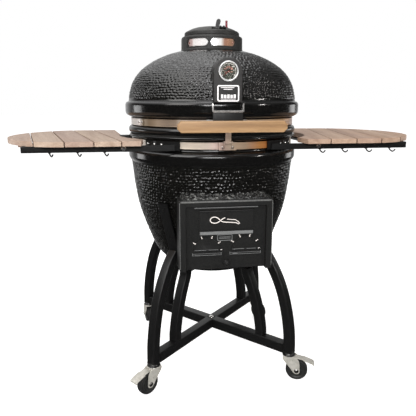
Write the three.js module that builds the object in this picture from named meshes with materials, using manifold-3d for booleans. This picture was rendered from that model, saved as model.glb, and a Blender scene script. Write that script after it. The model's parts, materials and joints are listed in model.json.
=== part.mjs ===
// Kamado charcoal cooker on a wheeled stand, with two folding side shelves.
// Millimetres, +Z up, the floor at z = 0, the body's axis at x = y = 0, the front towards -Y.
import * as THREE from "three";
import { mergeVertices } from "three/addons/utils/BufferGeometryUtils.js";
import Module from "manifold-3d";

const wasm = await Module();
wasm.setup();
const { Manifold, Mesh: MMesh } = wasm;

// ---------------------------------------------------------------- driving dimensions
const SEG = 32; // facets round the big ceramic and sheet rings
const GAP = 0.3; // clearance between touching pieces

const FLANGE_R = 299; // lid flange
const NECK_UP_R = 278; // ceramic neck under the upper band
const NECK_LOW_R = 275.5;
const BAND_T = 3.4;
const UP_BAND_Z = [870, 892.5];
const LOW_BAND_Z = [804.5, 826];
const CHIMNEY_R = 104.5;
const CHIMNEY_Z = [1112.5, 1157];
const CAP_R = 93;
const CAP_TOP_Z = 1192;

const LEG_AZ = THREE.MathUtils.degToRad(46.8); // azimuth of the legs from the X axis
const LEG_R = 341; // radius of the leg feet and swivels
const LEG_FOOT_Z = 100;
const TUBE = 32;
const BAR_Z = [94, 130];

const WHEEL_R = 37.5;
const WHEEL_W = 22;
const TRAIL = 28;

const DOOR_FRONT_Y = -299;
const DOOR_W = 292;
const DOOR_Z = [434, 654];
const PANEL_Y = [-291, -288];
const DAMPER_X = 60;
const DAMPER_Z = 493;
const DAMPER_R = 41;

const SHELF_TOP_Z = 833;
const SLAT_T = 15;
const SHELF_Y = [-278, 290];
const SHELF_TIP_X = { right: 697, left: 684 };
const SHELF_CORNER_X = { right: 258, left: 253 };
const SHELF_ROUND_X = 470;
const SLAT_SKEW = THREE.MathUtils.degToRad(12.5);
const SLAT_GAPS = { right: [332, 417, 501, 578], left: [309, 388, 471, 556] }; // x of each joint at the front edge
const SLAT_GAP_W = 4;
const RAIL_Y = [216, 236];
const RAIL_Z = [798, 817.7];
const PIVOT_X = 305;
const PIVOT_Z = 808;

const LID_PIVOT = { y: 330, z: 848 };
const PLATE_FRONT_Y = -303;
const PLATE_HALF_W = 42;
const PLATE_Z = [943, 1070];
const DIAL_Z = 1031;

// ---------------------------------------------------------------- helpers
function toManifold(geom) {
  let g = geom.clone();
  g.deleteAttribute("normal");
  g.deleteAttribute("uv");
  g = mergeVertices(g, 1e-4);
  const m = new MMesh({
    numProp: 3,
    vertProperties: Float32Array.from(g.attributes.position.array),
    triVerts: Uint32Array.from(g.index.array),
  });
  m.merge();
  return new Manifold(m);
}
function toGeometry(man) {
  const m = man.getMesh();
  const g = new THREE.BufferGeometry();
  g.setAttribute("position", new THREE.BufferAttribute(new Float32Array(m.vertProperties), 3));
  g.setIndex(new THREE.BufferAttribute(new Uint32Array(m.triVerts), 1));
  const flat = g.toNonIndexed();
  flat.computeVertexNormals();
  return flat;
}
const V = (x, y, z) => new THREE.Vector3(x, y, z);
function box(x0, x1, y0, y1, z0, z1) {
  const g = new THREE.BoxGeometry(Math.abs(x1 - x0), Math.abs(y1 - y0), Math.abs(z1 - z0));
  g.translate((x0 + x1) / 2, (y0 + y1) / 2, (z0 + z1) / 2);
  return toManifold(g);
}
// cylinder from point a to point b
function rod(a, b, r, seg = 16, r2 = r) {
  const A = V(...a), B = V(...b);
  const d = B.clone().sub(A);
  const g = new THREE.CylinderGeometry(r2, r, d.length(), seg);
  const q = new THREE.Quaternion().setFromUnitVectors(V(0, 1, 0), d.clone().normalize());
  g.applyQuaternion(q);
  g.translate(...A.clone().add(B).multiplyScalar(0.5).toArray());
  return toManifold(g);
}
// solid of revolution about Z from closed [r, z] points
function turned(pts, seg = SEG) {
  const v = pts.map(([r, z]) => new THREE.Vector2(r, z));
  v.push(v[0].clone());
  const g = new THREE.LatheGeometry(v, seg);
  g.rotateX(Math.PI / 2);
  g.rotateZ(Math.PI / seg);
  let m = toManifold(g);
  if (m.volume() < 0) {
    const flip = g.index.array;
    for (let i = 0; i < flip.length; i += 3) [flip[i], flip[i + 1]] = [flip[i + 1], flip[i]];
    m = toManifold(g);
  }
  return m;
}
function prism(pts, depth) {
  const s = new THREE.Shape(pts.map(([a, b]) => new THREE.Vector2(a, b)));
  return new THREE.ExtrudeGeometry(s, { depth, bevelEnabled: false, curveSegments: 12 });
}
// outline given in X,Z, extruded from y0 to y1
function prismXZ(pts, y0, y1) {
  const g = prism(pts, Math.abs(y1 - y0));
  g.rotateX(Math.PI / 2);
  g.translate(0, Math.max(y0, y1), 0);
  return toManifold(g);
}
// outline given in X,Y, extruded from z0 to z1
function prismXY(pts, z0, z1) {
  const g = prism(pts, z1 - z0);
  g.translate(0, 0, z0);
  return toManifold(g);
}
// outline given in Y,Z, extruded from x0 to x1
function prismYZ(pts, x0, x1) {
  const g = prism(pts, x1 - x0);
  g.rotateX(Math.PI / 2);
  g.rotateZ(Math.PI / 2);
  g.translate(x0, 0, 0);
  return toManifold(g);
}
// outline in (radius, z) standing in the vertical plane at azimuth az, w wide
function prismRadial(pts, w, az) {
  const g = prism(pts, w);
  g.translate(0, 0, -w / 2);
  g.rotateX(Math.PI / 2);
  g.rotateZ(az);
  return toManifold(g);
}
// offsets a polyline to a closed strip of width w (a on the left side, b on the right)
function strip(pts, left, right) {
  const L = [], R = [];
  for (let i = 0; i < pts.length; i++) {
    const p = pts[Math.max(0, i - 1)], q = pts[Math.min(pts.length - 1, i + 1)];
    let n;
    if (i === 0 || i === pts.length - 1) {
      const d = [q[0] - p[0], q[1] - p[1]];
      const l = Math.hypot(...d);
      n = [-d[1] / l, d[0] / l];
    } else {
      const a = [pts[i][0] - p[0], pts[i][1] - p[1]], b = [q[0] - pts[i][0], q[1] - pts[i][1]];
      const la = Math.hypot(...a), lb = Math.hypot(...b);
      const n1 = [-a[1] / la, a[0] / la], n2 = [-b[1] / lb, b[0] / lb];
      const s = [n1[0] + n2[0], n1[1] + n2[1]];
      const k = 2 / (s[0] * s[0] + s[1] * s[1]);
      n = [s[0] * k, s[1] * k];
    }
    L.push([pts[i][0] + n[0] * left, pts[i][1] + n[1] * left]);
    R.push([pts[i][0] - n[0] * right, pts[i][1] - n[1] * right]);
  }
  return [...L, ...R.reverse()];
}
function sector(r0, r1, z0, z1, a0, a1, step = 7.5) {
  const n = Math.max(2, Math.ceil((a1 - a0) / step));
  const pts = [];
  for (let i = 0; i <= n; i++) {
    const a = THREE.MathUtils.degToRad(a0 + ((a1 - a0) * i) / n);
    pts.push([r1 * Math.cos(a), r1 * Math.sin(a)]);
  }
  for (let i = n; i >= 0; i--) {
    const a = THREE.MathUtils.degToRad(a0 + ((a1 - a0) * i) / n);
    pts.push([r0 * Math.cos(a), r0 * Math.sin(a)]);
  }
  return prismXY(pts, z0, z1);
}
const union = (...m) => m.reduce((a, b) => a.add(b));
const mirrorX = (m) => m.mirror([1, 0, 0]);
const mirrorY = (m) => m.mirror([0, 1, 0]);

const root = new THREE.Group();
root.name = "kamado_cooker";
function add(name, man, color, roughness, metalness) {
  const mesh = new THREE.Mesh(toGeometry(man), new THREE.MeshStandardMaterial({ color, roughness, metalness }));
  mesh.name = name;
  root.add(mesh);
  return mesh;
}

// ---------------------------------------------------------------- ceramic body
const BASE_OUT = [
  [0, 386], [138, 386], [156, 391], [178, 404], [195, 424], [209, 446], [225, 484], [240, 524], [254, 565], [264, 604],
  [271, 645], [277, 690], [281, 731], [284, 750], [289, 757], [292, 765], [292, 781], [289, 788], [283, 792],
  [NECK_LOW_R, 797], [NECK_LOW_R, 829], [284, 831], [289, 834], [287, 840],
];
const BASE_IN = [
  [250, 840], [250, 700], [241, 620], [223, 529], [190, 528], [182, 440], [166, 412], [0, 410],
];
const baseOuterSolid = (grow) =>
  turned([[0, 386 - grow], ...BASE_OUT.slice(1).map(([r, z]) => [r + grow, z === 386 ? z - grow : z]), [0, 840 + grow]]);
const DRAFT_OPENING = () => box(-108, 108, -330, -20, DOOR_Z[0] - 0.5, 618);
let base = turned([...BASE_OUT, ...BASE_IN]).subtract(DRAFT_OPENING());
add("base_shell", base, 0x1b1a19, 0.3, 0.0);

const DOME_OUT = [
  [262, 844.3], [284, 844.3], [289, 848], [290, 857], [286, 865], [NECK_UP_R, 869], [NECK_UP_R, 894], [287, 898],
  [296, 904], [FLANGE_R, 911], [FLANGE_R, 938], [295, 944], [288, 947], [285.5, 965], [281, 985], [274, 1005],
  [262, 1026], [246, 1045], [222, 1064], [192, 1082], [157, 1097], [122, 1108], [112, 1112],
];
const DOME_IN = [
  [62, 1112], [62, 1090], [120, 1082], [170, 1066], [208, 1044], [236, 1016], [252, 985], [260, 950], [262, 900],
];
const domeSolid = (grow) =>
  turned([[0, 844], ...DOME_OUT.slice(1).map(([r, z]) => [r + grow, z + (z > 940 ? grow : 0)]), [0, 1112 + grow]]);
let dome = turned([...DOME_OUT, ...DOME_IN]).subtract(rod([0, -320, DIAL_Z], [0, -150, DIAL_Z], 6, 16));
add("dome_shell", dome, 0x1c1b1a, 0.3, 0.0);

add("base_gasket", turned([[252, 840.3], [284, 840.3], [284, 842], [252, 842]]), 0x3a3937, 0.95, 0);
add("dome_gasket", turned([[264, 842.3], [283, 842.3], [283, 844], [264, 844]]), 0x3a3937, 0.95, 0);

// ---------------------------------------------------------------- fire bowl, ring, grates
let bowl = turned([
  [70, 529.3], [216, 529.3], [222, 560], [232, 610], [236, 660], [216, 660], [212, 612], [200, 566], [176, 549], [70, 549],
], 24);
for (let i = 0; i < 8; i++) {
  const a = ((i + 0.5) / 8) * Math.PI * 2;
  bowl = bowl.subtract(rod([130 * Math.cos(a), 130 * Math.sin(a), 520], [130 * Math.cos(a), 130 * Math.sin(a), 560], 9, 10));
}
bowl = bowl.subtract(box(-62, 62, -250, -150, 572, 626));
add("fire_bowl", bowl, 0xb9a58c, 0.85, 0);
add("fire_ring", turned([[218, 660.3], [238, 660.3], [241, 700], [241, 800], [222, 800], [222, 700]], 24), 0xb9a58c, 0.85, 0);

let cg = turned([[0, 549.3], [112, 549.3], [112, 557], [0, 557]], 24);
for (let i = -3; i <= 3; i++) {
  const h = Math.sqrt(100 * 100 - (i * 26) ** 2);
  cg = cg.subtract(box(i * 26 - 6, i * 26 + 6, -h + 6, h - 6, 540, 565));
}
add("charcoal_grate", cg, 0x3b3836, 0.8, 0.6);

let grate = turned([[221, 801], [228, 801], [228, 808], [221, 808]], 24);
for (let i = -7; i <= 7; i++) {
  const x = i * 28.5, h = Math.sqrt(224 * 224 - x * x);
  grate = grate.add(box(x - 2.5, x + 2.5, -h, h, 803, 807.5));
}
grate = grate.add(box(-222, 222, -3, 3, 800.3, 804));
add("cooking_grate", grate, 0xb8b6b2, 0.35, 0.9);

// ---------------------------------------------------------------- bands
const ring = (r, t, z) => turned([[r + GAP, z[0]], [r + GAP + t, z[0]], [r + GAP + t, z[1]], [r + GAP, z[1]]]);
add("upper_band", ring(NECK_UP_R, BAND_T, UP_BAND_Z), 0xb4ada4, 0.35, 0.95);
add("lower_band", ring(NECK_LOW_R, BAND_T, LOW_BAND_Z), 0xb4ada4, 0.35, 0.95);
const UP_R = NECK_UP_R + GAP + BAND_T, LOW_R = NECK_LOW_R + GAP + BAND_T;

// ---------------------------------------------------------------- rear hinge
const { y: PY, z: PZ } = LID_PIVOT;
const lug = (x0, x1, yIn, z0, z1, r, bore) => {
  const arc = [];
  for (let i = 0; i <= 8; i++) {
    const a = -Math.PI / 2 + (Math.PI * i) / 8;
    arc.push([PY + r * Math.cos(a), PZ + r * Math.sin(a)]);
  }
  return prismYZ([[yIn, z0], ...arc, [yIn, z1]], x0, x1).subtract(rod([x0 - 1, PY, PZ], [x1 + 1, PY, PZ], bore, 16));
};
const plate = (x, y0, y1, z0, z1) => box(-x, x, y0, y1, z0, z1);
add(
  "hinge_lower_bracket",
  union(
    plate(78, LOW_R + GAP, LOW_R + 6, 803, 827),
    lug(72, 78, LOW_R + 1, 803, 827, 13, 6.4),
    lug(-78, -72, LOW_R + 1, 803, 827, 13, 6.4),
    rod([56, LOW_R + 5, 815], [56, LOW_R + 10, 815], 6, 6),
    rod([-56, LOW_R + 5, 815], [-56, LOW_R + 10, 815], 6, 6),
  ),
  0x222222, 0.5, 0.6,
);
add(
  "hinge_upper_bracket",
  union(
    plate(58, UP_R + GAP, UP_R + 6, 869.5, 893),
    lug(50, 56, UP_R + 1, 869.5, 893, 12, 6.4),
    lug(-56, -50, UP_R + 1, 869.5, 893, 12, 6.4),
    rod([30, UP_R + 5, 881], [30, UP_R + 10, 881], 6, 6),
    rod([-30, UP_R + 5, 881], [-30, UP_R + 10, 881], 6, 6),
  ),
  0x222222, 0.5, 0.6,
);
add("hinge_pin", union(rod([-83, PY, PZ], [83, PY, PZ], 6, 16), rod([83, PY, PZ], [88, PY, PZ], 9, 16)), 0x9a9a9a, 0.3, 1);
const coil = () => {
  const pts = [[6.6, 0]];
  const n = 4, L = 38;
  for (let i = 0; i < n; i++) pts.push([10, (L * (i + 0.02)) / n], [12, (L * (i + 0.35)) / n], [12, (L * (i + 0.65)) / n]);
  pts.push([10, L], [6.6, L]);
  return turned(pts, 12).rotate([0, 90, 0]).translate([0, PY, PZ]);
};
add("hinge_spring_right", coil().translate([6, 0, 0]), 0x8d8d8d, 0.35, 0.9);
add("hinge_spring_left", coil().translate([-44, 0, 0]), 0x8d8d8d, 0.35, 0.9);

// ---------------------------------------------------------------- handle
const hb = [];
{
  const hw = 155, z0 = 862, z1 = 894, c = 10;
  hb.push([-hw + c, z0], [hw - c, z0], [hw, z0 + c], [hw, z1 - c], [hw - c, z1], [-hw + c, z1], [-hw, z1 - c], [-hw, z0 + c]);
}
const handleBevel = prismYZ(
  [[-388, 866], [-384, 862], [-368, 862], [-364, 866], [-364, 890], [-368, 894], [-384, 894], [-388, 890]], -155, 155,
);
add("handle_bar", prismXZ(hb, -388, -364).intersect(handleBevel), 0xb0854f, 0.55, 0);
const arm = (x) => box(x - 3, x + 3, -364 + GAP, -UP_R - 1, 869, 887);
add(
  "handle_bracket",
  union(
    plate(60, -UP_R - 6, -UP_R - GAP, 868, 894.5).subtract(turned([[0, 860], [UP_R + GAP, 860], [UP_R + GAP, 900], [0, 900]])),
    arm(40), arm(-40),
    box(-45, -37, -364 + GAP, -360, 866, 890),
    box(37, 45, -364 + GAP, -360, 866, 890),
    box(-45.5, 45.5, -308, -305, 874, 924),
    box(-45.5, -42.8, -308, -299.6, 905, 941),
    box(42.8, 45.5, -308, -299.6, 905, 941),
  ).subtract(domeSolid(0.4)),
  0xc4c2be, 0.3, 0.95,
);

// ---------------------------------------------------------------- lid latch
const LATCH_X = 3;
add(
  "latch_keeper",
  union(
    box(LATCH_X - 27, LATCH_X + 27, -288, -LOW_R - GAP, 803.5, 827),
    box(LATCH_X - 13, LATCH_X - 10.5, -298, -287, 817, 831),
    box(LATCH_X + 10.5, LATCH_X + 13, -298, -287, 817, 831),
    rod([LATCH_X - 14.5, -288, 811.5], [LATCH_X - 14.5, -291, 811.5], 4.8, 12),
    rod([LATCH_X + 14.5, -288, 811.5], [LATCH_X + 14.5, -291, 811.5], 4.8, 12),
  ).subtract(turned([[0, 795], [LOW_R + GAP, 795], [LOW_R + GAP, 835], [0, 835]]))
    .subtract(rod([LATCH_X - 20, -294, 826], [LATCH_X + 20, -294, 826], 2.4, 12)),
  0xc9c5bf, 0.3, 0.95,
);
add(
  "latch_strap",
  union(
    rod([LATCH_X - 14.5, -294, 826], [LATCH_X + 14.5, -294, 826], 2, 12),
    box(LATCH_X - 9, LATCH_X + 9, -297.5, -294.2, 826, 865),
    box(LATCH_X - 9, LATCH_X + 9, -297.5, -289, 862.5, 865.3),
  ),
  0xc9c5bf, 0.3, 0.95,
);

// ---------------------------------------------------------------- thermometer housing
const archPts = [];
{
  const r = PLATE_HALF_W, zt = PLATE_Z[1] - r;
  archPts.push([-r, PLATE_Z[0]], [r, PLATE_Z[0]]);
  for (let i = 0; i <= 16; i++) archPts.push([r * Math.cos((Math.PI * i) / 16), zt + r * Math.sin((Math.PI * i) / 16)]);
}
let shroud = prismXZ(archPts, PLATE_FRONT_Y, -190)
  .subtract(domeSolid(0.4))
  .subtract(rod([0, -320, DIAL_Z], [0, -150, DIAL_Z], 12, 20));
shroud = shroud.decompose().sort((a, b) => b.volume() - a.volume())[0];
add("thermometer_shroud", shroud, 0x3b3a38, 0.45, 0.2);

const onDial = (pts, seg = 20) => turned(pts, seg).rotate([90, 0, 0]).translate([0, PLATE_FRONT_Y, DIAL_Z]);
// profile z is the distance forward of the plate face
add(
  "thermometer_case",
  onDial([[0, -122], [3, -122], [4, -110], [4, -14], [10.5, -12], [10.5, 0.3], [28.5, 0.3], [28.5, 8], [27, 10], [24.4, 10], [24.4, 2.5], [0, 2.5]]),
  0xd8d8d8, 0.15, 1,
);
add("thermometer_dial", onDial([[2, 2.8], [24, 2.8], [24, 3.8], [2, 3.8]]), 0x2a2a28, 0.6, 0);
add(
  "thermometer_needle",
  union(
    rod([0, PLATE_FRONT_Y - 2.9, DIAL_Z], [0, PLATE_FRONT_Y - 6, DIAL_Z], 1.6, 12),
    box(-0.9, 0.9, PLATE_FRONT_Y - 5.6, PLATE_FRONT_Y - 4.8, DIAL_Z - 6, DIAL_Z + 19).rotate([0, 0, 0]),
  ).translate([0, 0, -DIAL_Z]).rotate([0, -130, 0]).translate([0, 0, DIAL_Z]),
  0xc2281e, 0.4, 0,
);
add("thermometer_lens", onDial([[0, 7.2], [24.1, 7.2], [24.1, 8.8], [0, 8.8]]), 0xdfe8ea, 0.05, 0);

const rr = (x0, x1, z0, z1, r) => {
  const p = [];
  const c = [[x1 - r, z0 + r, -90], [x1 - r, z1 - r, 0], [x0 + r, z1 - r, 90], [x0 + r, z0 + r, 180]];
  for (const [cx, cz, a0] of c)
    for (let i = 0; i <= 4; i++) {
      const a = THREE.MathUtils.degToRad(a0 + (90 * i) / 4);
      p.push([cx + r * Math.cos(a), cz + r * Math.sin(a)]);
    }
  return p;
};
add(
  "badge_plate",
  prismXZ(rr(-32, 32, 946, 992, 5), PLATE_FRONT_Y - 2.5, PLATE_FRONT_Y - GAP)
    .subtract(prismXZ(rr(-28.5, 28.5, 949.5, 988.5, 3), PLATE_FRONT_Y - 3, PLATE_FRONT_Y - 1.6)),
  0xd9d9d7, 0.3, 0.9,
);

// ---------------------------------------------------------------- top vent
let collar = turned([
  [84, CHIMNEY_Z[0]], [CHIMNEY_R + 2, CHIMNEY_Z[0]], [CHIMNEY_R, 1117], [CHIMNEY_R - 0.5, 1152], [CHIMNEY_R - 3, 1156.5],
  [CHIMNEY_R - 6, 1157.5], [86, 1157.5], [86, 1154], [100.3, 1154], [100.3, 1118], [84, 1118],
]);
const WINDOWS = [[-150.3, -105.8], [-101.4, -51.3], [29, 82], [86, 131]];
for (const [a0, a1] of WINDOWS) {
  // stadium outline wrapped round the collar as a radial wedge
  const wedge = (b0, b1, z0, z1) => sector(80, 118, z0, z1, b0, b1, 9);
  const steps = [[11.9, 5.1], [10.9, 3.5], [9.2, 2.2], [6.6, 0.95], [3.4, 0.2]].map(([h, e]) => wedge(a0 + e, a1 - e, 1134 - h, 1134 + h));
  collar = collar.subtract(union(...steps));
}
add("chimney_collar", collar, 0x2b2a29, 0.55, 0.4);
const DAMPER_PORTS = [[-41, 12], [139, 190]]; // shut at rest; they meet the windows when the cap turns
let dring = turned([[95.5, 1118.4], [99.7, 1118.4], [99.7, 1153.6], [85.4, 1153.6], [85.4, 1150], [95.5, 1150]], 24);
for (const [a0, a1] of DAMPER_PORTS) dring = dring.subtract(sector(80, 110, 1125, 1142, a0, a1, 9));
add("vent_damper_ring", dring, 0xd9d4cc, 0.2, 1);
let cap = turned([
  [0, 1184], [0, CAP_TOP_Z], [34, 1190.5], [58, 1186.5], [78, 1180], [CAP_R - 3, 1173.5], [CAP_R, 1170], [CAP_R, 1160],
  [CAP_R - 0.5, 1157.9], [85, 1157.9], [85, 1150.4], [80, 1150.4], [80, 1168], [60, 1178],
], 24);
add("vent_cap", cap, 0x2b2a29, 0.55, 0.4);
// thumb lever at the cap's front, standing on a foot of its own
const capSolid = turned([
  [0, 1100], [0, CAP_TOP_Z + GAP], [34, 1190.8], [58, 1186.8], [78.2, 1180.3], [CAP_R - 2.7, 1173.8], [CAP_R + GAP, 1170], [CAP_R + GAP, 1100],
]);
const LEVER_X = 5;
const leverPts = [[-9, 1160], [9, 1160], [8, 1172], [6.2, 1178], [6.6, 1186], [9, 1192], [10.4, 1199], [9.2, 1203.4], [6.2, 1205.6], [1.5, 1205.6], [-1.8, 1202.8], [-3.6, 1196], [-5.2, 1188], [-5.6, 1180], [-8, 1172]].map(([x, z]) => [x + LEVER_X, z]);
add(
  "vent_lever",
  union(
    prismXZ(leverPts, -86, -78),
    rod([LEVER_X - 18, -80, 1179], [LEVER_X + 30, -76, 1180], 4.4, 12),
    rod([LEVER_X + 9, -80, 1180], [LEVER_X + 13, -79.6, 1180], 6.4, 12),
    rod([LEVER_X + 20, -78.6, 1180.5], [LEVER_X + 24, -78.2, 1180.5], 6.4, 12),
  ).subtract(capSolid),
  0x141414, 0.4, 0.3,
);
add("vent_pin", union(rod([47, -18, 1184], [47, -18, 1211.5], 4, 16), rod([47, -18, 1184], [47, -18, 1192], 5, 16)).subtract(capSolid), 0x7a1423, 0.35, 0.1);

// ---------------------------------------------------------------- draft door
const hw = DOOR_W / 2;
let frame = union(
  box(-hw, hw, DOOR_FRONT_Y, -195, DOOR_Z[1] - 20, DOOR_Z[1]),
  box(-hw, -hw + 20, DOOR_FRONT_Y, -195, DOOR_Z[0] - 6, DOOR_Z[1]),
  box(hw - 20, hw, DOOR_FRONT_Y, -195, DOOR_Z[0] - 6, DOOR_Z[1]),
  box(-hw, hw, -284, -195, DOOR_Z[0] - 4, DOOR_Z[0] - 0.5),
);
frame = frame
  .subtract(baseOuterSolid(0.5))
  .subtract(box(-hw + 3, -hw + 30, DOOR_FRONT_Y + 3, -285, 420, DOOR_Z[1] - 3).intersect(box(-hw, -hw + 17, -400, 0, 0, 900)))
  .subtract(box(hw - 30, hw - 3, DOOR_FRONT_Y + 3, -285, 420, DOOR_Z[1] - 3).intersect(box(hw - 17, hw, -400, 0, 0, 900)));
// thin the rails to bent sheet: hollow them from behind
frame = frame
  .subtract(box(-hw + 3, -hw + 17, -282, -100, 400, DOOR_Z[1] - 3))
  .subtract(box(hw - 17, hw - 3, -282, -100, 400, DOOR_Z[1] - 3))
  .subtract(box(-hw + 3, hw - 3, -282, -100, DOOR_Z[1] - 17, DOOR_Z[1] - 3));
frame = frame.decompose().sort((a, b) => b.volume() - a.volume())[0];
add("draft_frame", frame, 0x1d1d1d, 0.45, 0.4);

// half-moon with its flat side down, centre cx, cz
const halfMoon = (cx, cz, r, n = 16) => {
  const p = [];
  for (let i = 0; i <= n; i++) p.push([cx + r * Math.cos((Math.PI * i) / n), cz + r * Math.sin((Math.PI * i) / n)]);
  return p;
};
const DX = hw - 20.6;
let drawer = union(
  box(-DX, DX, PANEL_Y[0], PANEL_Y[1], 433, DOOR_Z[1] - 20.6),
  box(-100, 100, -289.5, 118, 434, 478).subtract(box(-97.5, 97.5, PANEL_Y[1], 115.5, 436.5, 490)),
  box(-96, 96, -296, -289.5, 624, 628),
);
for (const s of [-1, 1]) drawer = drawer.subtract(prismXZ(halfMoon(s * DAMPER_X, DAMPER_Z + 2, DAMPER_R - 6), -300, -280));
drawer = drawer.subtract(box(-72, 72, -300, -280, 566, 606));
add("ash_drawer", drawer, 0x1b1b1b, 0.5, 0.4);

add(
  "starter_flap",
  union(
    box(-84, 84, -294.2, -292.2, 549, 618),
    box(-84, 84, -298.5, -292.2, 545, 556),
    rod([-84, -294.4, 619], [84, -294.4, 619], 2.6, 12),
  ),
  0x1e1e1e, 0.5, 0.4,
);
for (const [nm, s] of [["damper_left", -1], ["damper_right", 1]]) {
  const cx = s * DAMPER_X;
  add(
    nm,
    union(
      prismXZ(halfMoon(cx, DAMPER_Z, DAMPER_R), -293.3, -291.3),
      box(cx - DAMPER_R, cx + DAMPER_R, -295.3, -291.3, DAMPER_Z - 1, DAMPER_Z + 4),
      rod([cx, -291.3, DAMPER_Z], [cx, -296.5, DAMPER_Z], 5, 12),
      box(cx + 36, cx + 49, -293.3, -291.3, DAMPER_Z - 3, DAMPER_Z + 4),
      rod([cx + 45, -292, DAMPER_Z + 0.5], [cx + 45, -297.5, DAMPER_Z + 0.5], 3.6, 12),
    ),
    0x222222, 0.45, 0.5,
  );
}
add(
  "drawer_knob",
  union(
    rod([0, -291.3, 453], [0, -299, 453], 5, 16),
    rod([0, -299, 453], [0, -306, 453], 9.5, 20, 8),
  ),
  0x151515, 0.4, 0.2,
);

// ---------------------------------------------------------------- stand
const OUTER = [[221, 449], [246, 423], [269, 390], [290, 352], [307, 312], [321, 266], [332, 216], [339, 165], [341, 128], [341, LEG_FOOT_Z]];
const INNER = [[163, 350], [175, 322], [188, 292], [200, 259], [211, 222], [219, 186], [224, 155], [225, BAR_Z[1] + GAP]];
const STRAP = [[274.5, 628], [215.5, 440], [167, 371.9], [122, 371.9]];
const legFrame = (az) =>
  union(
    prismRadial(strip(OUTER, TUBE / 2, TUBE / 2), TUBE, az),
    prismRadial(strip([[160, 367], ...INNER], TUBE / 2, TUBE / 2), TUBE, az),
    prismRadial(strip(STRAP, 6, 0), 40, az),
  )
    .subtract(baseOuterSolid(0.5))
    .subtract(box(-hw - 2, hw + 2, -310, -190, 400, 660))
    .subtract(turned([[0, 60], [300, 60], [300, BAR_Z[1] + GAP], [0, BAR_Z[1] + GAP]], 12));
const AZ = [
  ["leg_frame_front_right", -LEG_AZ],
  ["leg_frame_front_left", -Math.PI + LEG_AZ],
  ["leg_frame_rear_left", Math.PI - LEG_AZ],
  ["leg_frame_rear_right", LEG_AZ],
];
for (const [nm, az] of AZ) {
  const m = legFrame(az).decompose().sort((a, b) => b.volume() - a.volume())[0];
  add(nm, m, 0x1a1a1a, 0.5, 0.35);
}
const crossBar = (az) => {
  const g = new THREE.BoxGeometry(2 * (LEG_R - TUBE / 2 - GAP), TUBE, BAR_Z[1] - BAR_Z[0]);
  g.translate(0, 0, (BAR_Z[0] + BAR_Z[1]) / 2);
  g.rotateZ(az);
  return toManifold(g);
};
add("cross_base", union(crossBar(LEG_AZ), crossBar(-LEG_AZ)), 0x1a1a1a, 0.5, 0.35);
add("cradle_ring", turned([[112, 372.3], [150, 372.3], [150, 385.6], [112, 385.6]], 24), 0x1a1a1a, 0.5, 0.35);

// ---------------------------------------------------------------- casters, built trailing along +X from the swivel axis
const sx = LEG_R * Math.cos(LEG_AZ), sy = LEG_R * Math.sin(LEG_AZ);
const cheek = (y0, y1) => prismXZ([[-20, 88], [20, 88], [36, 70], [TRAIL + 9, 31], [TRAIL, 28], [TRAIL - 9, 31], [-4, 62], [-20, 80]], y0, y1);
const forkLocal = () =>
  union(
    rod([0, 0, 91], [0, 0, LEG_FOOT_Z - GAP], 15, 12),
    rod([0, 0, 88], [0, 0, 93.5], 21, 18),
    box(-20, 22, -17.5, 17.5, 85.5, 88.5),
    cheek(-17.5, -14.7),
    cheek(14.7, 17.5),
    rod([TRAIL, -20, WHEEL_R], [TRAIL, 20, WHEEL_R], 4, 12),
  );
const wheelLocal = () => {
  const w = WHEEL_W / 2;
  const R = WHEEL_R / Math.cos(Math.PI / 20); // the flats of the faceted tread touch the floor
  return turned([[4.4, -w - 1.5], [12, -w - 1.5], [14, -w + 2.5], [29, -w], [34.5, -w], [R, -w + 4], [R, w - 4], [34.5, w], [29, w], [14, w - 2.5], [12, w + 1.5], [4.4, w + 1.5]], 20)
    .rotate([90, 0, 0])
    .translate([TRAIL, 0, WHEEL_R]);
};
const pedalLocal = () =>
  union(
    rod([15, -14, 80], [15, 14, 80], 4, 12),
    prismXZ(strip([[14, 81], [34, 82.5], [56, 77], [84, 67]], 1.5, 1.5), -13.5, 13.5),
    prismXZ(strip([[50, 79], [56, 77], [84, 67], [86, 62]], 1.6, 1.6), -17, 17),
  );
const CASTERS = [
  ["front_left", -sx, -sy, 218, true],
  ["front_right", sx, -sy, -20, true],
  ["rear_left", -sx, sy, 100, false],
  ["rear_right", sx, sy, -60, false],
];
for (const [nm, x, y, deg, brake] of CASTERS) {
  const place = (m) => m.rotate([0, 0, deg]).translate([x, y, 0]);
  add("caster_fork_" + nm, place(forkLocal()), 0xb9b9b6, 0.35, 0.95);
  add("caster_wheel_" + nm, place(wheelLocal()), 0x161616, 0.7, 0);
  if (brake) add("brake_pedal_" + nm, place(pedalLocal()), 0xb9b9b6, 0.35, 0.95);
}

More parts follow.
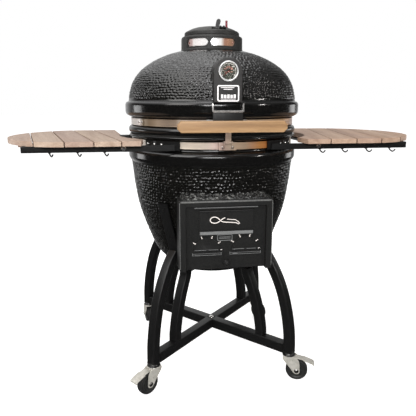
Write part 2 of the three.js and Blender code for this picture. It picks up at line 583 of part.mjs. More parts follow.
// ---------------------------------------------------------------- side shelves, built on +X and mirrored
const shelfOutline = (side) => {
  const p = [];
  const yc = (SHELF_Y[0] + SHELF_Y[1]) / 2, hy = (SHELF_Y[1] - SHELF_Y[0]) / 2;
  p.push([SHELF_CORNER_X[side], SHELF_Y[0]]);
  const n = 20;
  for (let i = 0; i <= n; i++) {
    const a = -Math.PI / 2 + (Math.PI * i) / n;
    p.push([SHELF_ROUND_X + (SHELF_TIP_X[side] - SHELF_ROUND_X) * Math.cos(a), yc + hy * Math.sin(a)]);
  }
  p.push([350, SHELF_Y[1]]);
  for (let i = 0; i <= 10; i++) {
    const a = THREE.MathUtils.degToRad(7 - (47.5 * i) / 10);
    p.push([324 * Math.cos(a), 324 * Math.sin(a)]);
  }
  return p;
};
const slats = (side) => {
  let m = prismXY(shelfOutline(side), SHELF_TOP_Z - SLAT_T, SHELF_TOP_Z);
  const t = Math.tan(SLAT_SKEW);
  for (const xf of SLAT_GAPS[side]) {
    const g = [[xf - SLAT_GAP_W / 2 - 30 * t, SHELF_Y[0] - 30], [xf + SLAT_GAP_W / 2 - 30 * t, SHELF_Y[0] - 30]];
    const L = SHELF_Y[1] - SHELF_Y[0] + 30;
    g.push([xf + SLAT_GAP_W / 2 + L * t, SHELF_Y[1] + 30], [xf - SLAT_GAP_W / 2 + L * t, SHELF_Y[1] + 30]);
    m = m.subtract(prismXY(g, SHELF_TOP_Z - SLAT_T - 1, SHELF_TOP_Z + 1));
  }
  // two battens under the slats hold them as one panel
  m = m.add(box(300, 628, -150, -120, 808, SHELF_TOP_Z - SLAT_T + 0.5));
  m = m.add(box(352, 640, 120, 150, 808, SHELF_TOP_Z - SLAT_T + 0.5));
  return m;
};
const hook = (x, d) =>
  union(
    rod([x, -228, RAIL_Z[0] + 3], [x, -228, RAIL_Z[0] - 4], 2.4, 6),
    rod([x - 0.6 * d, -227.2, RAIL_Z[0] - 3], [x + 6.6 * d, -236.6, RAIL_Z[0] - 11], 2.4, 6),
    rod([x + 6 * d, -236, RAIL_Z[0] - 11.4], [x + 12 * d, -244, RAIL_Z[0] - 4], 2.4, 6),
  );
const RAIL_END_X = { right: 610, left: 602 };
const shelfFrame = (hooks, side) => {
  let m = union(
    box(292, RAIL_END_X[side], -RAIL_Y[1], -RAIL_Y[0], ...RAIL_Z),
    box(292, RAIL_END_X[side], RAIL_Y[0], RAIL_Y[1], ...RAIL_Z),
    box(344, 362, -RAIL_Y[0] - 2, RAIL_Y[0] + 2, 798, 807.5),
    box(560, 578, -RAIL_Y[0] - 2, RAIL_Y[0] + 2, 798, 807.5),
    rod([PIVOT_X, -RAIL_Y[1] + 2, PIVOT_Z], [PIVOT_X, -RAIL_Y[1] - 9.5, PIVOT_Z], 4, 12),
    rod([PIVOT_X, RAIL_Y[1] - 2, PIVOT_Z], [PIVOT_X, RAIL_Y[1] + 9.5, PIVOT_Z], 4, 12),
  );
  for (const x of hooks) m = m.add(hook(x, side === "right" ? 1 : -1));
  return m;
};
const bracket = () => {
  const end = [];
  for (let i = 0; i <= 8; i++) {
    const a = Math.PI / 2 - (Math.PI * i) / 8;
    end.push([PIVOT_X + 9.4 * Math.cos(a), PIVOT_Z + 9.4 * Math.sin(a)]);
  }
  const armPts = [[152, 799], [152, 817.4], ...end, [PIVOT_X, 798.6]];
  const bolt = (deg) => {
    const a = THREE.MathUtils.degToRad(deg);
    const c = Math.cos(a), s = Math.sin(a);
    return rod([(LOW_R + 3) * c, (LOW_R + 3) * s, 815], [(LOW_R + 8) * c, (LOW_R + 8) * s, 815], 4.6, 12, 3.4);
  };
  return union(
    prismXZ(armPts, -RAIL_Y[1] - 6.5, -RAIL_Y[1] - 1.5).subtract(rod([PIVOT_X, -300, PIVOT_Z], [PIVOT_X, -200, PIVOT_Z], 4.4, 12)),
    sector(LOW_R + 0.2, LOW_R + 4.2, 800, 826.5, -61, -33, 3.5),
    bolt(-36), bolt(-42), bolt(-48),
  ).subtract(turned([[0, 780], [LOW_R + GAP, 780], [LOW_R + GAP, 840], [0, 840]])).subtract(baseOuterSolid(0.5));
};
const HOOKS_R = [316, 392, 474, 555];
const HOOKS_L = [362, 441, 522];
const WOOD = [0xb99b84, 0.75, 0];
const STEEL = [0x1b1b1b, 0.5, 0.4];
add("shelf_slats_right", slats("right"), ...WOOD);
add("shelf_slats_left", mirrorX(slats("left")), ...WOOD);
add("shelf_frame_right", shelfFrame(HOOKS_R, "right"), ...STEEL);
add("shelf_frame_left", mirrorX(shelfFrame(HOOKS_L, "left")), ...STEEL);
add("shelf_bracket_front_right", bracket(), ...STEEL);
add("shelf_bracket_front_left", mirrorX(bracket()), ...STEEL);
add("shelf_bracket_rear_right", mirrorY(bracket()), ...STEEL);
add("shelf_bracket_rear_left", mirrorX(mirrorY(bracket())), ...STEEL);

root.position.y = 22.5; // puts the middle of the whole footprint on the origin
export default root;
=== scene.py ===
# Kamado cooker: the looks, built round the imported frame. Lengths below are millimetres in the
# pot's own axes (axis at x = y = 0); P() turns them into metres in the row frame.
import bpy, bmesh, math, json, random
import numpy as np
from mathutils import Vector, Matrix, noise


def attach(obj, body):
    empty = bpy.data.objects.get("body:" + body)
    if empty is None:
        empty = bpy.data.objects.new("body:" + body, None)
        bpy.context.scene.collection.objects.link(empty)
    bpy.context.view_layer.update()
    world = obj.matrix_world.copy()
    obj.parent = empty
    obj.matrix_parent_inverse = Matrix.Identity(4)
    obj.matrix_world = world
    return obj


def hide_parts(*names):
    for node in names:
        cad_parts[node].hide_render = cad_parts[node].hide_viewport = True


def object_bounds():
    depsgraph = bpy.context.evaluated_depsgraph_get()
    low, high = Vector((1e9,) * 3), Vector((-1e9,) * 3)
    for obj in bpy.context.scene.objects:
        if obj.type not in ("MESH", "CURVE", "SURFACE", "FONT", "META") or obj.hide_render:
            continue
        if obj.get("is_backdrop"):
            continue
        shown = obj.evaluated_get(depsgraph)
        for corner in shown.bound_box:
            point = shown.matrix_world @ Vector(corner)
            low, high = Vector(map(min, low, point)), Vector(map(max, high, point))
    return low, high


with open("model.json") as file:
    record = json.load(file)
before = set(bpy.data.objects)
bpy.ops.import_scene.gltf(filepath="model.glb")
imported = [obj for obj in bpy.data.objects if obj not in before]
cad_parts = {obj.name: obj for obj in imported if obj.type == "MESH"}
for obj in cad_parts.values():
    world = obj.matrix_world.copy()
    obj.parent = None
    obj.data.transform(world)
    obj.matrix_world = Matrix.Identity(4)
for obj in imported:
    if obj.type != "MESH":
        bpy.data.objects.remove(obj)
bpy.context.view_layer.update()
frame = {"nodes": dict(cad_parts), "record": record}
DY = 22.5
BODY = {n: b for b, ns in frame["record"]["behaviour"]["bodies"].items() for n in ns}
SLOT = {s["node"]: s["material_slot"] for s in frame["record"]["subparts"]}
rad = math.radians
rng = random.Random(7)


def P(v):
    return (v[0] * 0.001, (v[1] + DY) * 0.001, v[2] * 0.001)


# ------------------------------------------------------------------ materials
def nd(nt, kind, **vals):
    n = nt.nodes.new(kind)
    for k, v in vals.items():
        if k in n.inputs:
            n.inputs[k].default_value = v
        else:
            setattr(n, k, v)
    return n


def rgb(c):
    def f(x):
        x /= 255.0
        return x / 12.92 if x <= 0.04045 else ((x + 0.055) / 1.055) ** 2.4
    return tuple(f(x) for x in c) + (1.0,)


def mat(name, c1, c2=None, cscale=60.0, rough=(0.4, 0.5), rscale=80.0, metal=0.0, bump=None, stretch=(1, 1, 1), rot=(0, 0, 0),
        coat=0.0, coat_rough=0.1, spec=None, extra=None, contrast=(0.35, 0.65), detail=4.0, aniso=0.0):
    """c1, c2 in sRGB 0..255, mixed by noise; rough is a low and a high; bump is (scale, strength, metres, stretched)."""
    m = bpy.data.materials.new(name)
    m.use_nodes = True
    nt = m.node_tree
    bs = nt.nodes["Principled BSDF"]
    L = nt.links.new
    tc = nd(nt, "ShaderNodeTexCoord")
    mp = nd(nt, "ShaderNodeMapping")
    mp.inputs["Scale"].default_value = stretch
    mp.inputs["Rotation"].default_value = rot
    L(tc.outputs["Object"], mp.inputs["Vector"])
    n1 = nd(nt, "ShaderNodeTexNoise", Scale=cscale, Detail=detail, Roughness=0.6)
    L(mp.outputs[0], n1.inputs["Vector"])
    cr = nd(nt, "ShaderNodeValToRGB")
    cr.color_ramp.elements[0].position = contrast[0]
    cr.color_ramp.elements[1].position = contrast[1]
    cr.color_ramp.elements[0].color = rgb(c1)
    cr.color_ramp.elements[1].color = rgb(c2 or c1)
    L(n1.outputs["Fac"], cr.inputs["Fac"])
    L(cr.outputs["Color"], bs.inputs["Base Color"])
    n2 = nd(nt, "ShaderNodeTexNoise", Scale=rscale, Detail=3.0)
    L(mp.outputs[0], n2.inputs["Vector"])
    mr = nd(nt, "ShaderNodeMapRange")
    mr.inputs["From Min"].default_value = 0.3
    mr.inputs["From Max"].default_value = 0.7
    mr.inputs["To Min"].default_value = rough[0]
    mr.inputs["To Max"].default_value = rough[1]
    L(n2.outputs["Fac"], mr.inputs["Value"])
    L(mr.outputs[0], bs.inputs["Roughness"])
    bs.inputs["Metallic"].default_value = metal
    if coat:
        bs.inputs["Coat Weight"].default_value = coat
        bs.inputs["Coat Roughness"].default_value = coat_rough
    if spec is not None:
        bs.inputs["Specular IOR Level"].default_value = spec
    if bump:
        n3 = nd(nt, "ShaderNodeTexNoise", Scale=bump[0], Detail=5.0)
        L((mp if len(bump) > 3 and bump[3] else tc).outputs[0 if (len(bump) > 3 and bump[3]) else "Object"], n3.inputs["Vector"])
        bp = nd(nt, "ShaderNodeBump", Strength=bump[1], Distance=bump[2])
        L(n3.outputs["Fac"], bp.inputs["Height"])
        L(bp.outputs[0], bs.inputs["Normal"])
    if extra:
        extra(nt, bs, cr, tc, mp)
    return m


MATS = {}


def painted_reflection_run(stops, span=0.3):
    """Painted reflection: a colour run across the piece along X (metres) that stands in for the bright and warm
    surroundings mirrored in the steel, times the steel's own grain.
    """
    def run(nt, bs, cr, tc, mp):
        L = nt.links.new
        sx = nd(nt, "ShaderNodeSeparateXYZ")
        L(tc.outputs["Object"], sx.inputs[0])
        m = nd(nt, "ShaderNodeMapRange")
        m.inputs["From Min"].default_value = -span
        m.inputs["From Max"].default_value = span
        L(sx.outputs["X"], m.inputs["Value"])
        r = nd(nt, "ShaderNodeValToRGB")
        els = r.color_ramp.elements
        els[0].position = (stops[0][0] * 0.001 + span) / (2 * span)
        els[0].color = rgb(stops[0][1])
        els[1].position = (stops[-1][0] * 0.001 + span) / (2 * span)
        els[1].color = rgb(stops[-1][1])
        for x, c in stops[1:-1]:
            e = els.new((x * 0.001 + span) / (2 * span))
            e.color = rgb(c)
        L(m.outputs[0], r.inputs["Fac"])
        mm = nd(nt, "ShaderNodeMix")
        mm.data_type = "RGBA"
        mm.blend_type = "MULTIPLY"
        mm.inputs["Factor"].default_value = 1.0
        L(cr.outputs["Color"], mm.inputs[6])
        L(r.outputs["Color"], mm.inputs[7])
        L(mm.outputs[2], bs.inputs["Base Color"])
    return run


def glaze_extra(nt, bs, cr, tc, mp):
    # fine dimples in the glaze, under the modelled ones
    L = nt.links.new
    v = nd(nt, "ShaderNodeTexVoronoi", Scale=330.0)
    L(tc.outputs["Object"], v.inputs["Vector"])
    b = nd(nt, "ShaderNodeBump", Strength=0.10, Distance=0.0008)
    L(v.outputs["Distance"], b.inputs["Height"])
    n = nd(nt, "ShaderNodeTexNoise", Scale=900.0, Detail=2.0)
    L(tc.outputs["Object"], n.inputs["Vector"])
    b2 = nd(nt, "ShaderNodeBump", Strength=0.08, Distance=0.0005)
    L(n.outputs["Fac"], b2.inputs["Height"])
    L(b.outputs[0], b2.inputs["Normal"])
    L(b2.outputs[0], bs.inputs["Normal"])


MATS["glaze"] = mat("glaze_dimpled", (9, 9, 8), (26, 24, 21), 300.0, (0.11, 0.2), 160.0, contrast=(0.5, 0.7), extra=glaze_extra)
MATS["glaze_smooth"] = mat("glaze_smooth", (9, 9, 9), (15, 14, 13), 240.0, (0.12, 0.22), 90.0, bump=(220.0, 0.05, 0.0006), contrast=(0.4, 0.7))
MATS["brick"] = mat("firebrick", (176, 152, 122), (206, 186, 156), 55.0, (0.85, 0.97), 60.0, bump=(420.0, 0.5, 0.0015))
MATS["soot"] = mat("inner_ceramic", (92, 84, 74), (128, 118, 104), 30.0, (0.8, 0.95), 60.0, bump=(300.0, 0.4, 0.0012))
MATS["felt"] = mat("gasket_felt", (34, 34, 33), (62, 61, 58), 500.0, (0.92, 1.0), 300.0, bump=(700.0, 0.8, 0.0012))
MATS["iron"] = mat("cast_iron", (40, 38, 36), (62, 58, 54), 120.0, (0.6, 0.8), 90.0, metal=0.5, bump=(500.0, 0.5, 0.001))
MATS["bar"] = mat("bright_bar", (188, 186, 182), (210, 208, 204), 90.0, (0.18, 0.32), 200.0, metal=1.0, bump=(800.0, 0.1, 0.0004))
# The lower band's run from pinkish white on the left to orange-brown on the right is painted reflection of warm
# surroundings.
MATS["band"] = mat("band_steel_low", (226, 226, 226), (255, 255, 255), 6.0, (0.26, 0.42), 9.0, metal=0.4, stretch=(1, 1, 90), bump=(14.0, 0.12, 0.0006, True), contrast=(0.3, 0.7),
                   extra=painted_reflection_run([(-230, (200, 190, 180)), (-150, (212, 200, 186)), (-108, (222, 206, 188)), (-60, (204, 188, 174)), (-36, (212, 188, 178)), (-12, (176, 150, 138)), (12, (176, 156, 136)),
                               (36, (184, 158, 132)), (60, (168, 144, 120)), (85, (176, 132, 98)), (110, (182, 124, 66)), (135, (180, 112, 56)), (160, (156, 98, 54)), (190, (184, 152, 122)), (250, (200, 188, 176))]))
# The upper band's run, bright white at its ends and brown between, is painted reflection.
MATS["band_up"] = mat("band_steel_up", (226, 226, 226), (255, 255, 255), 6.0, (0.26, 0.42), 9.0, metal=0.4, stretch=(1, 1, 90), bump=(14.0, 0.12, 0.0006, True), contrast=(0.3, 0.7),
                      extra=painted_reflection_run([(-290, (236, 230, 227)), (-270, (222, 216, 212)), (-252, (222, 214, 210)), (-247, (136, 122, 104)), (-225, (126, 106, 82)), (-200, (166, 146, 126)), (-170, (142, 124, 108)),
                                  (-148, (150, 130, 112)), (-136, (196, 178, 162)), (0, (176, 160, 144)), (120, (182, 156, 130)), (205, (158, 122, 84)), (232, (150, 110, 74)), (258, (210, 196, 192)), (290, (240, 238, 238))]))
MATS["sheet"] = mat("bright_sheet", (160, 158, 156), (186, 184, 182), 7.0, (0.2, 0.34), 12.0, metal=0.6, stretch=(8, 8, 60), bump=(14.0, 0.08, 0.0005, True))
MATS["bolt"] = mat("bolt_steel", (200, 198, 196), (224, 222, 220), 160.0, (0.14, 0.3), 220.0, metal=1.0, bump=(900.0, 0.1, 0.0003))
MATS["black_steel"] = mat("hinge_powder", (14, 14, 14), (22, 22, 22), 260.0, (0.36, 0.52), 180.0, bump=(620.0, 0.16, 0.0006), spec=0.35)
MATS["spring"] = mat("spring_wire", (120, 118, 114), (156, 154, 150), 140.0, (0.25, 0.4), 160.0, metal=1.0, bump=(900.0, 0.1, 0.0003))
MATS["chrome"] = mat("chrome_trim", (232, 232, 232), (244, 244, 244), 60.0, (0.10, 0.18), 120.0, metal=0.5, bump=(500.0, 0.02, 0.0003))
MATS["shroud"] = mat("shroud_paint", (30, 29, 28), (40, 38, 37), 300.0, (0.34, 0.46), 160.0, bump=(700.0, 0.14, 0.0005))
MATS["dial"] = mat("dial_face", (62, 64, 56), (78, 80, 70), 120.0, (0.5, 0.62), 200.0)
MATS["pink"] = mat("dial_sector", (146, 100, 88), (166, 122, 108), 200.0, (0.5, 0.6), 200.0)
MATS["white"] = mat("dial_print", (214, 206, 200), (228, 222, 216), 300.0, (0.45, 0.55), 200.0)
MATS["red"] = mat("needle_red", (112, 50, 42), (130, 62, 54), 300.0, (0.3, 0.4), 200.0)
MATS["badge_rim"] = mat("badge_rim", (244, 240, 240), (252, 250, 250), 200.0, (0.22, 0.32), 160.0, metal=0.0, bump=(700.0, 0.05, 0.0003))
MATS["badge_in"] = mat("badge_field", (26, 25, 25), (38, 36, 36), 240.0, (0.3, 0.42), 160.0)
MATS["cast"] = mat("vent_cast", (26, 26, 25), (44, 43, 41), 420.0, (0.42, 0.6), 200.0, bump=(820.0, 0.34, 0.0009), spec=0.4)
# The damper liner's run, white in the middle and orange-brown towards one side, is painted reflection.
MATS["liner"] = mat("vent_liner", (240, 240, 240), (255, 255, 255), 8.0, (0.16, 0.28), 12.0, metal=0.2, stretch=(6, 6, 70), bump=(16.0, 0.05, 0.0004, True),
                    extra=painted_reflection_run([(-98, (206, 186, 180)), (-84, (190, 166, 162)), (-76, (196, 172, 168)), (-71, (248, 242, 240)), (-28, (255, 253, 252)), (-21, (236, 236, 240)), (-10, (255, 255, 255)), (14, (255, 253, 252)),
                                (20, (222, 208, 198)), (26, (178, 136, 116)), (38, (152, 106, 78)), (52, (170, 130, 106)), (98, (216, 206, 200))], 0.1))
MATS["hook"] = mat("lever_black", (14, 14, 14), (24, 24, 24), 200.0, (0.28, 0.42), 160.0, bump=(700.0, 0.12, 0.0005))
MATS["pinred"] = mat("pin_red", (110, 18, 34), (132, 26, 44), 240.0, (0.32, 0.44), 160.0, bump=(700.0, 0.08, 0.0004))
MATS["door"] = mat("door_powder", (20, 20, 20), (30, 30, 29), 300.0, (0.34, 0.48), 180.0, bump=(760.0, 0.2, 0.0006), spec=0.35)
MATS["rivet"] = mat("liner_rivet", (132, 88, 78), (160, 112, 98), 300.0, (0.25, 0.4), 180.0, metal=0.4, bump=(700.0, 0.1, 0.0004))
# black glaze with mid-grey patches: the grey is painted highlight on the bead's lumps
MATS["bead"] = mat("bead_glaze", (34, 34, 33), (126, 126, 123), 110.0, (0.14, 0.3), 160.0, metal=0.3, contrast=(0.5, 0.7), bump=(260.0, 0.4, 0.0015))
# lighter grey for the door frame's outer and top edges: painted highlight
MATS["edge"] = mat("frame_edge", (88, 89, 88), (112, 112, 110), 200.0, (0.3, 0.45), 180.0, metal=0.2, bump=(760.0, 0.1, 0.0004))
MATS["doorlip"] = mat("door_lip", (96, 97, 97), (112, 113, 113), 300.0, (0.4, 0.55), 180.0, bump=(760.0, 0.15, 0.0005))
MATS["stand"] = mat("stand_powder", (12, 12, 12), (21, 21, 21), 340.0, (0.30, 0.44), 150.0, bump=(780.0, 0.22, 0.0007), spec=0.35)
MATS["zinc"] = mat("caster_zinc", (184, 181, 172), (208, 205, 197), 70.0, (0.26, 0.44), 110.0, metal=0.45, bump=(500.0, 0.12, 0.0005))
MATS["tyre"] = mat("tyre_black", (22, 22, 22), (34, 33, 33), 260.0, (0.55, 0.72), 160.0, bump=(700.0, 0.2, 0.0006))
MATS["hub"] = mat("wheel_core", (26, 26, 26), (40, 40, 39), 200.0, (0.4, 0.55), 160.0, bump=(600.0, 0.12, 0.0005))
MATS["plastic"] = mat("black_plastic", (16, 16, 16), (26, 26, 26), 300.0, (0.34, 0.48), 180.0, bump=(800.0, 0.14, 0.0005))
MATS["coal"] = mat("charcoal_bits", (16, 15, 15), (44, 42, 41), 90.0, (0.75, 0.95), 80.0, bump=(160.0, 0.8, 0.003))


def wood(name, c1, c2, c3, along="Y", skew=0.0, rough=(0.48, 0.66), ring=9.0):
    """Long grain along one axis: broad tone bands, fine fibres and small dark pores."""
    m = bpy.data.materials.new(name)
    m.use_nodes = True
    nt = m.node_tree
    bs = nt.nodes["Principled BSDF"]
    L = nt.links.new
    tc = nd(nt, "ShaderNodeTexCoord")
    rt = nd(nt, "ShaderNodeMapping")
    rt.inputs["Rotation"].default_value = (0, 0, skew)
    L(tc.outputs["Object"], rt.inputs["Vector"])
    s = {"X": (1.0, 26.0, 26.0), "Y": (9.0, 0.45, 9.0)}[along]
    mp = nd(nt, "ShaderNodeMapping")
    mp.inputs["Scale"].default_value = s
    L(rt.outputs[0], mp.inputs["Vector"])
    broad = nd(nt, "ShaderNodeTexNoise", Scale=ring / 3.0, Detail=4.0, Roughness=0.62, Distortion=0.4)
    L(mp.outputs[0], broad.inputs["Vector"])
    cr = nd(nt, "ShaderNodeValToRGB")
    cr.color_ramp.elements[0].position = 0.30
    cr.color_ramp.elements[1].position = 0.72
    cr.color_ramp.elements[0].color = rgb(c1)
    cr.color_ramp.elements[1].color = rgb(c3)
    e = cr.color_ramp.elements.new(0.5)
    e.color = rgb(c2)
    L(broad.outputs["Fac"], cr.inputs["Fac"])
    fib = nd(nt, "ShaderNodeTexNoise", Scale=34.0, Detail=6.0, Roughness=0.7)
    L(mp.outputs[0], fib.inputs["Vector"])
    fr = nd(nt, "ShaderNodeMapRange")
    fr.inputs["From Min"].default_value = 0.35
    fr.inputs["From Max"].default_value = 0.62
    fr.inputs["To Min"].default_value = 0.84
    fr.inputs["To Max"].default_value = 1.04
    L(fib.outputs["Fac"], fr.inputs["Value"])
    mul = nd(nt, "ShaderNodeVectorMath")
    mul.operation = "SCALE"
    L(cr.outputs["Color"], mul.inputs[0])
    L(fr.outputs[0], mul.inputs["Scale"])
    L(mul.outputs[0], bs.inputs["Base Color"])
    rr = nd(nt, "ShaderNodeMapRange")
    rr.inputs["To Min"].default_value = rough[1]
    rr.inputs["To Max"].default_value = rough[0]
    L(fib.outputs["Fac"], rr.inputs["Value"])
    L(rr.outputs[0], bs.inputs["Roughness"])
    bp = nd(nt, "ShaderNodeBump", Strength=0.3, Distance=0.0006)
    L(fib.outputs["Fac"], bp.inputs["Height"])
    L(bp.outputs[0], bs.inputs["Normal"])
    return m


WOODS = [
    wood("board_tone_a", (142, 113, 94), (160, 132, 112), (174, 148, 128), skew=rad(12.5)),
    wood("board_tone_b", (146, 118, 98), (165, 137, 116), (178, 152, 131), skew=rad(12.5)),
    wood("board_tone_c", (138, 109, 91), (156, 128, 109), (171, 144, 125), skew=rad(12.5)),
]
WOODS_L = [
    wood("board_tone_d", (146, 120, 104), (164, 140, 123), (178, 156, 139), skew=rad(-12.5)),
    wood("board_tone_e", (150, 125, 107), (169, 146, 127), (183, 161, 143), skew=rad(-12.5)),
    wood("board_tone_f", (142, 116, 101), (160, 135, 119), (174, 151, 135), skew=rad(-12.5)),
]
MATS["handle"] = wood("handle_wood", (132, 100, 66), (157, 122, 83), (176, 143, 104), along="X", rough=(0.34, 0.5), ring=7.0)


# ------------------------------------------------------------------ mesh tools (millimetres)
class MB:
    """Collects closed solids, each with a material, into one piece."""

    def __init__(self):
        self.v, self.f, self.m, self.mats = [], [], [], []

    def mi(self, m):
        m = MATS[m] if isinstance(m, str) else m
        if m not in self.mats:
            self.mats.append(m)
        return self.mats.index(m)

    def add(self, V, F, m, T=None):
        k = len(self.v)
        self.v += [tuple(T @ Vector(p)) for p in V] if T is not None else [tuple(p) for p in V]
        self.f += [tuple(i + k for i in f) for f in F]
        self.m += [self.mi(m)] * len(F)

    def obj(self, name, body, replaces=(), ang=32, slot=None, bevel=None):
        me = bpy.data.meshes.new(name)
        me.from_pydata([P(p) for p in self.v], [], self.f)
        for m in self.mats:
            me.materials.append(m)
        me.polygons.foreach_set("material_index", self.m)
        bm = bmesh.new()
        bm.from_mesh(me)
        bmesh.ops.remove_doubles(bm, verts=bm.verts, dist=2e-6)
        bmesh.ops.dissolve_degenerate(bm, edges=bm.edges, dist=1e-6)
        bmesh.ops.recalc_face_normals(bm, faces=bm.faces)
        bm.to_mesh(me)
        bm.free()
        return place(me, name, body, replaces, ang, slot, bevel)


def place(me, name, body, replaces=(), ang=32, slot=None, bevel=None):
    me.polygons.foreach_set("use_smooth", [True] * len(me.polygons))
    if hasattr(me, "set_sharp_from_angle"):
        me.set_sharp_from_angle(angle=rad(ang))
    me.update()
    ob = bpy.data.objects.new(name, me)
    bpy.context.scene.collection.objects.link(ob)
    if bevel:
        b = ob.modifiers.new("edge", "BEVEL")
        b.width = bevel * 0.001
        b.segments = 2
        b.limit_method = "ANGLE"
        b.angle_limit = rad(38)
        b.harden_normals = False
        b.use_clamp_overlap = True
    if replaces:
        reps = [replaces] if isinstance(replaces, str) else list(replaces)
        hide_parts(*reps)
        slot = slot or SLOT.get(reps[0])
    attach(ob, body)
    return ob


def lathe_vf(prof, seg=96, closed=True, a0=0.0):
    V, F = [], []
    n = len(prof)
    for i in range(seg):
        a = a0 + 2 * math.pi * i / seg
        c, s = math.cos(a), math.sin(a)
        V += [(r * c, r * s, z) for r, z in prof]
    m = n if closed else n - 1
    for i in range(seg):
        j = (i + 1) % seg
        for k in range(m):
            l = (k + 1) % n
            if prof[k][0] < 1e-6 and prof[l][0] < 1e-6:
                continue
            if prof[k][0] < 1e-6:
                F.append((i * n + k, j * n + l, i * n + l))
            elif prof[l][0] < 1e-6:
                F.append((i * n + k, j * n + k, i * n + l))
            else:
                F.append((i * n + k, j * n + k, j * n + l, i * n + l))
    return V, F


def box_vf(x0, x1, y0, y1, z0, z1, r=1.0, seg=2):
    bm = bmesh.new()
    bmesh.ops.create_cube(bm, size=1.0)
    for v in bm.verts:
        v.co = Vector(((x0 + x1) / 2 + v.co.x * (x1 - x0), (y0 + y1) / 2 + v.co.y * (y1 - y0), (z0 + z1) / 2 + v.co.z * (z1 - z0)))
    r = min(r, 0.45 * min(x1 - x0, y1 - y0, z1 - z0))
    if r > 0:
        bmesh.ops.bevel(bm, geom=list(bm.edges), offset=r, offset_type="OFFSET", segments=seg, profile=0.6, affect="EDGES", clamp_overlap=True)
    V = [tuple(v.co) for v in bm.verts]
    bm.verts.index_update()
    F = [tuple(v.index for v in f.verts) for f in bm.faces]
    bm.free()
    return V, F


def prism_vf(pts, d0, d1, to, r=0.8, seg=2):
    """Closed outline extruded from d0 to d1, rims rounded; to(a, b, d) gives x, y, z."""
    bm = bmesh.new()
    lo = [bm.verts.new((a, b, d0)) for a, b in pts]
    hi = [bm.verts.new((a, b, d1)) for a, b in pts]
    n = len(pts)
    bot = bm.faces.new(list(reversed(lo)))
    top = bm.faces.new(hi)
    for i in range(n):
        j = (i + 1) % n
        bm.faces.new((lo[i], lo[j], hi[j], hi[i]))
    if r > 0:
        rims = [e for e in bm.edges if len({v.co.z for v in e.verts}) == 1]
        bmesh.ops.bevel(bm, geom=rims, offset=r, offset_type="OFFSET", segments=seg, profile=0.6, affect="EDGES", clamp_overlap=True)
    bm.verts.index_update()
    V = [to(*v.co) for v in bm.verts]
    F = [tuple(v.index for v in f.verts) for f in bm.faces]
    bm.free()
    return V, F


def sweep_vf(path, sec, up, cap=True):
    """Section (a, b) swept along path; a lies along up x tangent, b along up."""
    V, F = [], []
    n = len(sec)
    for i, p in enumerate(path):
        a = path[max(0, i - 1)]
        b = path[min(len(path) - 1, i + 1)]
        t = (Vector(b) - Vector(a)).normalized()
        u = Vector(up(i) if callable(up) else up)
        u = (u - t * u.dot(t)).normalized()
        s = u.cross(t).normalized()
        V += [tuple(Vector(p) + s * q[0] + u * q[1]) for q in sec]
    for i in range(len(path) - 1):
        for k in range(n):
            l = (k + 1) % n
            F.append((i * n + k, i * n + l, (i + 1) * n + l, (i + 1) * n + k))
    if cap:
        F.append(tuple(range(n)))
        F.append(tuple(reversed(range((len(path) - 1) * n, len(path) * n))))
    return V, F


def circ(r, n=12):
    return [(r * math.cos(2 * math.pi * i / n), r * math.sin(2 * math.pi * i / n)) for i in range(n)]


def rsec(w, h, r, n=4):
    """Rounded rectangle, w along a and h along b."""
    out = []
    for cx, cy, a0 in ((w / 2 - r, -h / 2 + r, -90), (w / 2 - r, h / 2 - r, 0), (-w / 2 + r, h / 2 - r, 90), (-w / 2 + r, -h / 2 + r, 180)):
        for i in range(n + 1):
            a = rad(a0 + 90.0 * i / n)
            out.append((cx + r * math.cos(a), cy + r * math.sin(a)))
    return out


def spline(pts, step=6.0):
    """Catmull-Rom through points of any dimension."""
    pts = [Vector(p) for p in pts]
    out = []
    for i in range(len(pts) - 1):
        p1, p2 = pts[i], pts[i + 1]
        p0 = pts[i - 1] if i else p1 + (p1 - p2)
        p3 = pts[i + 2] if i + 2 < len(pts) else p2 + (p2 - p1)
        d = (p2 - p1).length
        k = max(1, int(math.ceil(d / step)))
        m1 = (p2 - p0) * (d / ((p2 - p1).length + (p1 - p0).length))
        m2 = (p3 - p1) * (d / ((p3 - p2).length + (p2 - p1).length))
        for j in range(k):
            t = j / k
            out.append(p1 * (2 * t ** 3 - 3 * t ** 2 + 1) + m1 * (t ** 3 - 2 * t ** 2 + t) + p2 * (-2 * t ** 3 + 3 * t ** 2) + m2 * (t ** 3 - t ** 2))
    out.append(pts[-1])
    return out


def axis_to(c, d):
    """Matrix that takes local +Z to direction d at point c."""
    return Matrix.Translation(Vector(c)) @ Vector(d).normalized().to_track_quat("Z", "Y").to_matrix().to_4x4()


def bolt_dome(mb, c, d, r=4.6, h=3.4, m="bolt", hexs=False):
    """A button-head screw with a socket, or a hex head on a washer, standing on c along d."""
    T = axis_to(c, d)
    if hexs:
        V, F = lathe_vf([(0, 0), (r * 1.35, 0), (r * 1.35, 0.9), (0, 0.9)], 24)
        mb.add(V, F, m, T)
        V, F = lathe_vf([(0, 0.8), (r, 0.8), (r, h - 0.4), (r * 0.86, h), (0, h)], 6)
        mb.add(V, F, m, T)
    else:
        V, F = lathe_vf([(0, -0.6), (r, -0.6), (r, h * 0.25), (r * 0.93, h * 0.55), (r * 0.7, h * 0.85), (r * 0.42, h), (r * 0.4, h * 0.45), (0, h * 0.45)], 20)
        mb.add(V, F, m, T)


